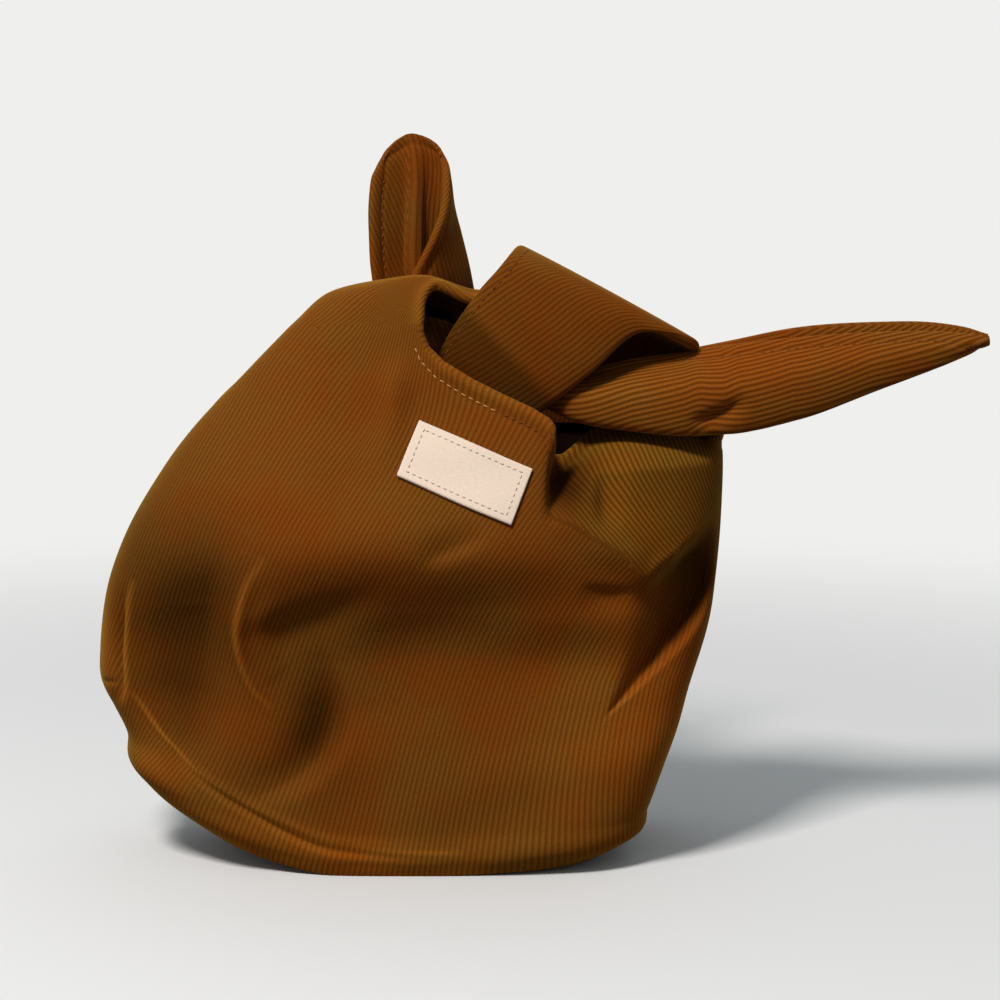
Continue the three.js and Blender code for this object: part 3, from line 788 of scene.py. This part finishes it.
def ribbon_section(at, across, facing, width, bow, columns):
    """One section of a ribbon: an arc across it, as wide and as bowed towards its face as given."""
    t = np.linspace(1, -1, columns)[:, None] * SECTION_ARC
    across = unit(np.array(across, float))
    facing = np.array(facing, float)
    facing = unit(facing - across * (facing @ across))
    depth = (np.cos(t) - np.cos(SECTION_ARC)) / (1 - np.cos(SECTION_ARC))
    return np.array(at, float) + across * (width / 2) * np.sin(t) / np.sin(SECTION_ARC) + facing * bow * depth


def traced_section(points, columns, by_point=False):
    """One section traced smoothly through a few points, spaced evenly along its length, or with the same
    number of steps from each point to the next."""
    points = np.array(points, float)
    knots = arc_lengths(points, 0)
    if by_point:
        shares = np.linspace(0, 1, columns), np.linspace(0, 1, len(points))
        return smooth_through(knots, points, np.interp(*shares, knots))
    fine = np.linspace(0, knots[-1], SECTION_SAMPLES)
    length = arc_lengths(smooth_through(knots, points, fine), 0)
    even = np.interp(np.linspace(0, length[-1], columns), length, fine)
    return smooth_through(knots, points, even)


def through_sections(sections, rows, skip=0):
    """A surface through a row of sections: a smooth curve along it for each place across. The first
    sections may serve only to lead into the next one."""
    sections = np.array(sections)
    gaps = np.linalg.norm(np.diff(sections, axis=0), axis=-1).mean(1)
    knots = np.concatenate([[0], np.cumsum(gaps)])
    along = np.linspace(knots[skip], knots[-1], rows)
    surface = smooth_through(knots, sections.reshape(len(knots), -1), along)
    return surface.reshape(rows, -1, 3).transpose(1, 0, 2)


def turned_tube(surface, half, zero_column, behind=False, skew=1.0):
    """A sewn and turned tube of cloth: a front face, a half round edge, a back face and another half round
    edge round a middle surface, or behind a front surface. Wales run along it, counted from one column."""
    normals = grid_normals(surface)
    half = np.broadcast_to(half, surface.shape[:2])[..., None]
    middle = surface - normals * half if behind else surface
    last, first = unit(middle[-1] - middle[-2]), unit(middle[0] - middle[1])
    turns = np.linspace(0, np.pi, EDGE_ROWS + 2)[1:-1, None, None]
    end = middle[-1] + half[-1] * (np.cos(turns) * normals[-1] + np.sin(turns) * last)
    start = middle[0] + half[0] * (np.sin(turns) * first - np.cos(turns) * normals[0])
    ring = np.concatenate([middle + normals * half, end, (middle - normals * half)[::-1], start])
    across = arc_lengths(middle, 0)
    across = (across - across[zero_column]) * skew
    far, near = across[-1:], across[:1]
    side = np.linspace(0, np.pi * half[0, 0, 0], EDGE_ROWS + 2)[1:-1, None]
    wale = np.concatenate([across, far + side, across[::-1] + BACK_FACE_SHIFT, near - side[::-1], across[:1]])
    run = np.broadcast_to(arc_lengths(middle, 1).mean(0), wale.shape)
    return ring, np.stack([wale, run], -1), normals


def round_tube(values):
    """Values on a tube's front face, carried on round its edges and over its back face to where they
    start."""
    return np.concatenate([values, np.repeat(values[-1:], EDGE_ROWS, 0), values[::-1],
                           np.repeat(values[:1], EDGE_ROWS, 0), values[:1]])


def hemmed_half(surface):
    """Half thickness of an ear: thinner in a groove that runs along its long edges and round its tip."""
    across, along = arc_lengths(surface, 0), arc_lengths(surface, 1)
    left = along[:, -1:] - along
    inside = np.minimum(np.minimum(across, across[-1:] - across), left)
    thin = EAR_THIN[0] + (1 - EAR_THIN[0]) * ramp(0, EAR_THIN[1], left)
    return (EAR_HALF - EAR_HEM_GROOVE * np.exp(-(inside - EAR_HEM_IN) ** 2)) * thin


def strap_angle(side, end, across):
    """The angle at which the wall passes a place across, at the height where the left tie is sewn on."""
    angle = np.linspace(np.pi, end, STRAP_SAMPLES)
    return np.interp(across, wall(side, angle, np.full(STRAP_SAMPLES, STRAP_HEIGHT))[:, 0], angle)


def strap_ring(height):
    """The sack's wall at one height, from the left tie's back edge over the left side to its front edge."""
    count = TIE_COLUMNS // 2 + 1
    front_edge = strap_angle(FRONT, 2 * np.pi, STRAP_EDGES[0])
    back_edge = strap_angle(BACK, 0, STRAP_EDGES[1])
    back = wall(BACK, np.linspace(back_edge, np.pi, count), np.full(count, height))
    front = wall(FRONT, np.linspace(np.pi, front_edge, count), np.full(count, height))
    return traced_section(np.concatenate([back, front[1:]])[::STRAP_STEP], TIE_COLUMNS)


def label_point(across, up, proud):
    """Points of the label: a turned rectangle laid on the front cloth and raised along its normals."""
    x = LABEL_AT[0] + across * np.cos(LABEL_TURN) - up * np.sin(LABEL_TURN)
    z = LABEL_AT[1] + across * np.sin(LABEL_TURN) + up * np.cos(LABEL_TURN)
    step = 0.5
    here = wall_at(FRONT, x, z)
    beside, above = wall_at(FRONT, x + step, z) - here, wall_at(FRONT, x, z + step) - here
    normals = unit(np.cross(beside, above))
    return here + normals * (folds_at(FRONT, x, z) + proud)[..., None], normals


def running_stitches(name, path, normals, pitch, material):
    """Running stitches along a path: each is a small capsule whose ends dip into the cloth. A capsule is a
    row of rings that follow the thread's direction."""
    run = arc_lengths(path, 0)
    middle = np.arange(pitch / 2, run[-1], pitch)
    at, out, ahead = (np.stack([np.interp(middle, run, line[:, k]) for k in range(3)], -1)
                      for line in (path, normals, np.gradient(path, axis=0)))
    out, ahead = unit(out), unit(ahead)
    aside = np.cross(out, ahead)
    turn = np.linspace(0, 2 * np.pi, STITCH_SIDES, endpoint=False)[:, None]
    line = (ahead[:, None] * (STITCH_PLACES * STITCH_SHARE * pitch / 2)[:, None]
            - out[:, None] * (STITCH_DIP * THREAD * STITCH_PLACES ** 4)[:, None])
    tube = np.cos(turn) * aside[:, None] + np.sin(turn) * out[:, None]
    points = (at[:, None] + line)[:, None] + tube[:, :, None] * (THREAD * STITCH_THICKNESS)[:, None]
    count, sides, rows = points.shape[:3]
    quads = grid_quads(sides, rows, True)
    first = np.arange(sides) * rows
    caps = first[[[3, 2, 1, 0], [5, 4, 3, 0]]]
    quads = np.concatenate([quads, caps, caps[:, ::-1] + rows - 1])
    quads = (quads + (np.arange(count) * sides * rows)[:, None, None]).reshape(-1, 4)
    return make_piece(name, points.reshape(-1, 3), quads, np.zeros((len(quads), 4, 2)), material)


def edge_stitches(name, middle, normals, half, from_end, rows, material):
    """Running stitches along an ear's long edge, in the groove of its hem, on its front face."""
    across = arc_lengths(middle, 0)
    inside = across[-1:] - across if from_end else across
    near = np.abs(inside - EAR_HEM_IN).argmin(0)[rows]
    out = normals[near, rows]
    path = middle[near, rows] + out * (half[near, rows] + THREAD * EAR_PROUD)[:, None]
    return running_stitches(name, path, out, STITCH_PITCH, material)


def new_group(name, inputs, outputs):
    """An empty shader node group with its named sockets."""
    group = bpy.data.node_groups.new(name, "ShaderNodeTree")
    for socket, kind, value in inputs:
        made = group.interface.new_socket(socket, in_out="INPUT", socket_type=kind)
        made.default_value = value
    for socket, kind in outputs:
        group.interface.new_socket(socket, in_out="OUTPUT", socket_type=kind)
    return group, group.nodes.new("NodeGroupInput"), group.nodes.new("NodeGroupOutput")


def fill(tree, node, inputs):
    """Sets inputs of a node, by their name or number: a link from a socket, or a plain value."""
    for place, value in inputs.items():
        if isinstance(value, bpy.types.NodeSocket):
            tree.links.new(value, node.inputs[place])
        else:
            node.inputs[place].default_value = value


def add_node(tree, kind, inputs=None, **settings):
    """A new node of a kind, with its settings and its inputs."""
    node = tree.nodes.new(kind)
    for setting, value in settings.items():
        setattr(node, setting, value)
    fill(tree, node, inputs or {})
    return node


def math_node(tree, operation, *values):
    """A math node on sockets or numbers. Gives back its result."""
    return add_node(tree, "ShaderNodeMath", dict(enumerate(values)), operation=operation).outputs[0]


def spread(tree, value, low, high, start=0.0, end=1.0):
    """A smooth map of a value from one range to another."""
    inputs = {"Value": value, "From Min": low, "From Max": high, "To Min": start, "To Max": end}
    return add_node(tree, "ShaderNodeMapRange", inputs, interpolation_type="SMOOTHSTEP").outputs["Result"]


def noise(tree, vector, scale, detail=3.0, roughness=0.55):
    """A noise texture on a vector socket."""
    inputs = {"Vector": vector, "Scale": scale, "Detail": detail, "Roughness": roughness}
    return add_node(tree, "ShaderNodeTexNoise", inputs).outputs["Fac"]


def corduroy_group():
    """Corduroy by the cloth coordinates: round wales with narrow grooves, which wander a little, short tufts
    of fibre on them, and patches where the fibres lie one way or the other."""
    tree, source, sink = new_group(
        "corduroy_cloth", [("Pitch", "NodeSocketFloat", WALE_PITCH)],
        [(name, "NodeSocketFloat") for name in ("Wale", "Height", "Fuzz", "Brushed")])
    cloth = add_node(tree, "ShaderNodeUVMap", uv_map="cloth").outputs["UV"]
    axes = add_node(tree, "ShaderNodeSeparateXYZ", {0: cloth}).outputs

    def stretched(across, along):
        """The cloth coordinates, scaled across and along the wales."""
        return add_node(tree, "ShaderNodeCombineXYZ", {
            "X": math_node(tree, "MULTIPLY", axes["X"], across),
            "Y": math_node(tree, "MULTIPLY", axes["Y"], along)}).outputs[0]

    wander = math_node(tree, "SUBTRACT", noise(tree, stretched(*WANDER_SCALE), 1.0), 0.5)
    across = math_node(tree, "ADD", axes["X"], math_node(tree, "MULTIPLY", wander, WANDER))
    turn = math_node(tree, "MULTIPLY", math_node(tree, "DIVIDE", across, source.outputs["Pitch"]), np.pi)
    wale = math_node(tree, "POWER", math_node(tree, "ABSOLUTE", math_node(tree, "SINE", turn)), WALE_POWER)
    fuzz = noise(tree, stretched(*PILE_SCALE), 1.0, 2.0, 0.6)
    place = add_node(tree, "ShaderNodeTexCoord").outputs["Object"]
    fill(tree, sink, {
        "Wale": wale, "Fuzz": fuzz,
        "Height": math_node(tree, "ADD", wale, math_node(tree, "MULTIPLY", fuzz, PILE_RELIEF)),
        "Brushed": spread(tree, noise(tree, place, PATCH_SCALE, 3.0, 0.6), 0.3, 0.7)})
    return tree


def srgb(red, green, blue):
    """A colour given as display values from 0 to 255, as linear light with full opacity."""
    value = np.array([red, green, blue]) / 255
    linear = np.where(value <= 0.04045, value / 12.92, ((value + 0.055) / 1.055) ** 2.4)
    return (*linear.tolist(), 1.0)


def mixed(tree, mask, first, second, blend="MIX"):
    """A colour between two colours, or colour sockets, by a mask."""
    return add_node(tree, "ShaderNodeMix", {"Factor": mask, 6: first, 7: second},
                    data_type="RGBA", blend_type=blend).outputs[2]


def new_material(name):
    """A material with its node tree and its principled shader."""
    material = bpy.data.materials.new(name)
    material.use_nodes = True
    return material, material.node_tree, material.node_tree.nodes["Principled BSDF"]


def bump(tree, height, distance, strength, shader):
    """Surface relief from a height in the range 0 to 1, on a shader's normal."""
    relief = add_node(tree, "ShaderNodeBump", {"Height": height, "Distance": distance, "Strength": strength})
    fill(tree, shader, {"Normal": relief.outputs["Normal"]})


def corduroy_material(group):
    """Brown corduroy: narrow light tops of the wales on a darker ground, both in patches of two shades, a
    painted golden sheen at a slant and a soft sheen. Painted light and shade from a point attribute and
    single tufts shade it, and the attribute's fourth value sets how much the wales stand out."""
    material, tree, shader = new_material("corduroy")
    ribs = add_node(tree, "ShaderNodeGroup", node_tree=group).outputs
    nap_and_painted_light = add_node(tree, "ShaderNodeAttribute", attribute_name="nap_and_painted_light").outputs
    low, lit = (mixed(tree, ribs["Brushed"], srgb(*first), srgb(*second))
                for first, second in (GROUND_SHADES, TOP_SHADES))
    tops = math_node(tree, "SUBTRACT", spread(tree, ribs["Wale"], 0.5, 1.0), WALE_SHARE)
    tops = math_node(tree, "ADD", math_node(tree, "MULTIPLY", tops, nap_and_painted_light["Alpha"]), WALE_SHARE)
    # A painted golden sheen where the cloth is seen at a slant
    slant = add_node(tree, "ShaderNodeLayerWeight", {"Blend": SLANT}).outputs["Facing"]
    colour = mixed(tree, spread(tree, slant, SLANT, 1.0), mixed(tree, tops, low, lit), srgb(*PAINTED_SLANT_SHEEN))
    tufts = spread(tree, ribs["Fuzz"], 0.25, 0.75, *PILE_SHADES)
    # Painted light and shade from the point attribute, varied by single tufts
    tufts_and_painted_light = add_node(tree, "ShaderNodeVectorMath", operation="SCALE")
    fill(tree, tufts_and_painted_light, {0: nap_and_painted_light["Color"], "Scale": tufts})
    fill(tree, shader, {
        "Base Color": mixed(tree, 1.0, colour, tufts_and_painted_light.outputs["Vector"], "MULTIPLY"),
        "Roughness": 0.95, "Specular IOR Level": 0.04,
        "Sheen Weight": 0.15, "Sheen Roughness": 0.45, "Sheen Tint": srgb(*SHEEN_COLOUR)})
    bump(tree, ribs["Height"], 0.00022, 0.5, shader)
    return material


def woven_group():
    """Plain weave by the cloth coordinates: a checker of crossing threads, made uneven by a noise."""
    tree, source, sink = new_group("woven_cloth", [("Scale", "NodeSocketFloat", 2.0)],
                                   [("Weave", "NodeSocketFloat")])
    cloth = add_node(tree, "ShaderNodeUVMap", uv_map="cloth").outputs["UV"]
    threads = add_node(tree, "ShaderNodeTexChecker", {"Scale": source.outputs["Scale"], "Vector": cloth})
    fill(tree, sink, {"Weave": math_node(
        tree, "ADD", math_node(tree, "MULTIPLY", threads.outputs["Fac"], WEAVE_SHARE),
        math_node(tree, "MULTIPLY", noise(tree, cloth, 1.2), 1 - WEAVE_SHARE))})
    return tree


def plain_cloth(name, weave, shades, scale):
    """A plain woven cloth: a light and a dark shade by the weave, with the threads as relief."""
    material, tree, shader = new_material(name)
    threads = add_node(tree, "ShaderNodeGroup", node_tree=weave)
    fill(tree, threads, {"Scale": scale})
    light, dark = (srgb(*shade) for shade in shades)
    fill(tree, shader, {"Base Color": mixed(tree, threads.outputs["Weave"], dark, light),
                        "Roughness": 0.85, "Specular IOR Level": 0.25})
    bump(tree, threads.outputs["Weave"], 0.0002, 0.5, shader)
    return material


def thread_material(name, colour):
    """Sewing thread: one colour, nearly matt."""
    material, tree, shader = new_material(name)
    fill(tree, shader, {"Base Color": srgb(*colour), "Roughness": 0.7, "Specular IOR Level": 0.15})
    return material


def mix_shaders(tree, mask, first, second, output):
    """The first shader, and the second where the mask is 1, on a tree's output node."""
    both = add_node(tree, "ShaderNodeMixShader", {0: mask, 1: first.outputs[0], 2: second.outputs[0]})
    fill(tree, tree.nodes[output], {"Surface": both.outputs[0]})


def area_light(name, place, aim, size, power, colour):
    """A square soft light at a place, turned towards an aim point, in metres."""
    lamp = bpy.data.lights.new(name, "AREA")
    lamp.size, lamp.energy, lamp.color = size, power, colour
    holder = bpy.data.objects.new(name, lamp)
    holder.location = place
    holder.rotation_euler = Vector(np.array(place) - np.array(aim)).to_track_quat("Z", "Y").to_euler()
    bpy.context.scene.collection.objects.link(holder)


# Materials
corduroy = corduroy_material(corduroy_group())
weave = woven_group()
lining_cloth = plain_cloth("lining", weave, LINING_SHADES, 2.0)
label_cloth = plain_cloth("label", weave, LABEL_SHADES, 3.0)
gold_thread = thread_material("gold_thread", GOLD)
brown_thread = thread_material("brown_thread", BROWN)
pale_thread = thread_material("pale_thread", PALE_PINK)

# Panels and linings
panels = {}
for side, name in ((FRONT, "front"), (BACK, "back")):
    grid, cloth, top, nap_and_painted_light, inward = panel_grid(side)
    tied = top > STRAP_HEIGHT - STRAP_WITHIN
    if side == BACK:
        tied |= (grid[:, -1, 0] > BAND_START[0]) & (grid[:, -1, 0] < BAND_START[1])
    whole, whole_cloth = turned_hem(grid, cloth, tied)
    nap_and_painted_light = np.concatenate([nap_and_painted_light, np.repeat(nap_and_painted_light[:, -1:], whole.shape[1] - nap_and_painted_light.shape[1], 1)], axis=1)
    plain_end = tied[:-1] & tied[1:]
    beyond = np.arange(whole.shape[1] - 1) >= grid.shape[1] - 1
    panel = cloth_piece(f"{name}_panel_cloth", whole, whole_cloth, corduroy,
                        (plain_end[:, None] & beyond).ravel(), nap_and_painted_light)
    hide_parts(f"{name}_panel")
    coarse = np.s_[::LINING_STEP, ::LINING_STEP]
    inner = (grid + inward * LINING_IN)[coarse]
    lining = cloth_piece(f"{name}_lining_cloth", inner[::-1], cloth[coarse][::-1], lining_cloth)
    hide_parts(f"{name}_lining")
    for piece in (panel, lining):
        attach(piece, "bag")
    panels[side] = grid, cloth, top

# Ties and ears
tucked = strap_ring(STRAP_HEIGHT - HOOD_TUCK)
tucked[:, :2] += unit(np.array([STRAP_MIDDLE, 0.0]) - tucked[:, :2]) * HOOD_TUCK_IN
hood_rows = [tucked, strap_ring(STRAP_HEIGHT)]
hood_rows += [traced_section(points, TIE_COLUMNS) for points in HOOD_SECTIONS]
hood_rows += [ribbon_section(*row, TIE_COLUMNS) for row in HOOD_END]
hood = through_sections(hood_rows, HOOD_ROWS)
hood_start = np.abs(hood[:, :HOOD_SEAM_ROWS, 2].mean(0) - STRAP_HEIGHT).argmin()
ring, cloth, _ = turned_tube(hood, TIE_HALF, TIE_COLUMNS - 1, behind=True, skew=HOOD_SKEW)
grid, panel_cloth, top = panels[FRONT]
strap = (top > STRAP_HEIGHT - STRAP_WITHIN) & (grid[:, -1, 0] < STRAP_MIDDLE)
cloth[..., 1] -= cloth[:, hood_start:hood_start + 1, 1]
edge = hood[:, hood_start]
shift = np.interp(edge[:, 0], grid[strap, -1, 0], panel_cloth[strap, -1, 0])
shift = shift - cloth[:TIE_COLUMNS, hood_start, 0]
shift = np.where(edge[:, 1] > 0, shift[np.abs(edge[:, 1]).argmin()], shift)
cloth[..., 0] += round_tube(shift)[:, None]
cloth[..., 0] -= HOOD_LEAN[0] * HOOD_LEAN[1] * (1 - np.exp(-cloth[..., 1] / HOOD_LEAN[1]))
# Painted highlight along the hood's edge at the mouth
from_edge = round_tube(arc_lengths(hood[::-1], 0)[::-1])[:-1]
hood_highlight = np.exp(-(from_edge / HOOD_EDGE_HIGHLIGHT[0]) ** 2)[..., None] * HOOD_EDGE_HIGHLIGHT[1]
left_tie = tube_piece("left_tie_cloth", ring, cloth, corduroy, 1 + hood_highlight)
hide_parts("left_tie_outer", "left_tie_facing")

start_x = np.linspace(BAND_START[1], BAND_START[0], TIE_COLUMNS)
band_rows = []
for height, inside in BAND_TUCK:
    row = wall_at(BACK, start_x, np.full(TIE_COLUMNS, height))
    row[:, 1] -= inside
    band_rows.append(row)
band_rows += [ribbon_section(*row, TIE_COLUMNS) for row in BAND_SECTIONS]
band = through_sections(band_rows, BAND_ROWS, skip=1)
ring, cloth, band_normals = turned_tube(band, TIE_HALF, 0)
cloth[..., 0] += BAND_LEAN * cloth[..., 1]
# Painted shadow of the hood on the band's lower left front
(x_from, z_from), (x_to, z_to), reach, taken = BAND_PAINTED_SHADOW
beyond = (x_from - ring[..., 0]) * (z_from - z_to) + (z_from - ring[..., 2]) * (x_to - x_from)
beyond = beyond / np.hypot(x_to - x_from, z_to - z_from)
shaded = ramp(-reach, reach, beyond) * ramp(*BAND_FRONT, ring[..., 1])
right_tie = tube_piece("right_tie_cloth", ring, cloth, corduroy, 1 - shaded[..., None] * taken)
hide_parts("right_tie_outer", "right_tie_facing")

ear_rows = [ribbon_section(*row, EAR_COLUMNS)[::-1] for row in LEFT_EAR_ROOT]
sections = [[(*place, height) for place in places] for height, places in LEFT_EAR_LEVELS.items()]
ear_rows += [traced_section(points, EAR_COLUMNS, by_point=True) for points in sections + LEFT_EAR_TIP]
left_middle = through_sections(ear_rows, LEFT_EAR_ROWS)
left_half = hemmed_half(left_middle)
ridge = LEFT_EAR_RIDGE * EAR_COLUMNS
ring, cloth, left_normals = turned_tube(left_middle, left_half, int(ridge), skew=LEFT_EAR_SKEW)
cloth[..., 0] += round_tube(LEFT_EAR_LEAN * (np.arange(EAR_COLUMNS) < ridge))[:, None] * cloth[..., 1]
# Painted shade on the front of the left ear's root, reaching higher on its flap
shade_low, shade_high, darker, higher = ROOT_PAINTED_SHADE
root_shade = 1 - ramp(shade_low, shade_high + higher * ramp(*ROOT_RIGHT, ring[..., 0]), ring[..., 2])
root_shade = root_shade * ramp(*ROOT_FACING, -grid_normals(ring)[..., 1])
left_ear = tube_piece("left_ear_cloth", ring, cloth, corduroy,
                      np.repeat(1 - darker * root_shade[..., None], 3, axis=-1))
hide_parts("left_ear_outer", "left_ear_facing")

ear_rows = [traced_section([(across, *place) for place in places], EAR_COLUMNS)
            for across, places in RIGHT_EAR_SECTIONS.items()]
right_middle = through_sections(ear_rows, RIGHT_EAR_ROWS)
crease = fold_height(right_middle[..., 0], right_middle[..., 2], *EAR_CREASE)
crease[EAR_COLUMNS // 2:] = 0
right_middle = right_middle + grid_normals(right_middle) * crease[..., None]
right_half = hemmed_half(right_middle)
ring, cloth, right_normals = turned_tube(right_middle, right_half, EAR_COLUMNS // 2)
cloth[..., 0] += np.interp(cloth[..., 1], *RIGHT_EAR_WALES)
# Painted light on the right ear
right_ear = tube_piece("right_ear_cloth", ring, cloth, corduroy, np.tile(EAR_PAINTED_LIGHT_AND_WALES, (*ring.shape[:2], 1)))
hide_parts("right_ear_outer", "right_ear_facing")

for piece in (left_tie, right_tie):
    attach(piece, "bag")
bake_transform(left_ear)
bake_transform(right_ear)

# Label
half_size = np.array(LABEL_SIZE) / 2
across, up = np.meshgrid(np.linspace(-1, 1, LABEL_GRID[0]) * half_size[0],
                         np.linspace(-1, 1, LABEL_GRID[1]) * half_size[1], indexing="ij")
ring, cloth, _ = turned_tube(label_point(across, up, LABEL_PROUD)[0], LABEL_HALF, LABEL_GRID[0] // 2)
label = tube_piece("label_cloth", ring, cloth, label_cloth)
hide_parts("label")
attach(label, "bag")

# Stitches
front_grid, _, front_top = panels[FRONT]
lip_x = front_grid[:, -1, 0]
for name, low, high, material in (("lip_stitches", *LIP_GOLD, gold_thread),
                                  ("lip_end_stitches", *LIP_BROWN, brown_thread)):
    columns = np.flatnonzero((front_top < STRAP_HEIGHT - LIP_BELOW) & (lip_x > low) & (lip_x < high))
    heights = front_grid[columns, BASE_ROWS:, 2]
    row = (heights < heights[:, -1:] - HEM_STITCH_IN).sum(1) + BASE_ROWS
    path = (front_grid[columns, row - 1] + front_grid[columns, row]) / 2
    lip_normals = grid_normals(front_grid)[columns, row]
    path = path + lip_normals * THREAD * LIP_PROUD
    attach(running_stitches(name, path, lip_normals, STITCH_PITCH, material), "bag")

inset = half_size - LABEL_STITCH_IN
side = np.linspace(-1, 1, BORDER_SAMPLES)
one = np.ones_like(side)
border = np.concatenate([[side, one], [one, -side], [-side, -one], [-one, side]], axis=1) * inset[:, None]
path, border_normals = label_point(*border, LABEL_PROUD + LABEL_HALF + THREAD * BORDER_PROUD)
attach(running_stitches("label_stitches", path, border_normals, LABEL_PITCH, pale_thread), "bag")

column = TIE_COLUMNS - 1 - BAND_STITCH_COLUMNS
rows = np.flatnonzero((band[column, :, 1] < BAND_STITCH_FROM) & (band[column, :, 2] > BAND_STITCH_DOWN))
out = band_normals[column, rows]
path = band[column, rows] + out * (TIE_HALF + THREAD * BAND_PROUD)
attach(running_stitches("band_stitches", path, out, STITCH_PITCH, brown_thread), "bag")

edge = right_middle[0, :, 0]
rows = np.flatnonzero((edge > RIGHT_STITCHES[0]) & (edge < RIGHT_STITCHES[1]))
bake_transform(edge_stitches("right_ear_stitches", right_middle, right_normals, right_half, False, rows,
                       brown_thread))
edge = left_middle[0, :, 2]
rows = np.flatnonzero((edge > LEFT_STITCHES[0]) & (edge < LEFT_STITCHES[1]))
for name, from_end in (("left_ear_stitches", False), ("left_flap_stitches", True)):
    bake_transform(edge_stitches(name, left_middle, left_normals, left_half, from_end, rows, brown_thread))

# Floor
rings = np.concatenate([np.linspace(*span) for span in FLOOR_RINGS])
turn = np.linspace(0, 2 * np.pi, FLOOR_SIDES, endpoint=False)[:, None]
points = np.stack([rings * np.cos(turn), rings * np.sin(turn), 0 * turn + 0 * rings], -1).reshape(-1, 3)
floor_material, tree, shader = new_material("pale_floor")
from_camera = add_node(tree, "ShaderNodeLightPath").outputs["Is Camera Ray"]
fill(tree, shader, {"Base Color": mixed(tree, from_camera, FLOOR_BOUNCE, srgb(*FLOOR_COLOUR)),
                    "Roughness": 0.95, "Specular IOR Level": 0.1})
place = add_node(tree, "ShaderNodeTexCoord").outputs["Object"]
away = add_node(tree, "ShaderNodeVectorMath", {0: place}, operation="LENGTH").outputs["Value"]
far = math_node(tree, "MULTIPLY", spread(tree, away, *FLOOR_FADE), from_camera)
glow = add_node(tree, "ShaderNodeEmission", {"Color": srgb(*PALE)})
mix_shaders(tree, far, shader, glow, "Material Output")
quads = grid_quads(FLOOR_SIDES, len(rings), True)[:, ::-1]
floor = make_piece("floor", points / MM, quads, np.zeros((len(quads), 4, 2)), floor_material)

# Light
world = bpy.data.worlds.new("studio")
bpy.context.scene.world = world
world.use_nodes = True
tree = world.node_tree
looking = add_node(tree, "ShaderNodeTexCoord").outputs["Generated"]
depth = add_node(tree, "ShaderNodeSeparateXYZ", {0: looking}).outputs["Y"]
background = tree.nodes["Background"]
fill(tree, background, {"Color": SKY_COLOUR, "Strength": spread(tree, depth, *SKY)})
from_camera = add_node(tree, "ShaderNodeLightPath").outputs["Is Camera Ray"]
seen = add_node(tree, "ShaderNodeBackground", {"Color": srgb(*PALE)})
mix_shaders(tree, from_camera, background, seen, "World Output")
area_light("key", *KEY_LIGHT)

# Camera
camera_data = bpy.data.cameras.new("camera")
camera_data.lens = SENSOR * CAMERA_DISTANCE / CAMERA_VIEW
camera_data.sensor_width = SENSOR
camera = bpy.data.objects.new("camera", camera_data)
towards = np.array([0, -np.cos(CAMERA_RISE), np.sin(CAMERA_RISE)])
camera.location = (CAMERA_TARGET + CAMERA_DISTANCE * towards) * MM
camera.rotation_euler = (np.pi / 2 - CAMERA_RISE, 0, 0)
bpy.context.scene.collection.objects.link(camera)
bpy.context.scene.camera = camera
bpy.context.scene.view_settings.view_transform = "Standard"
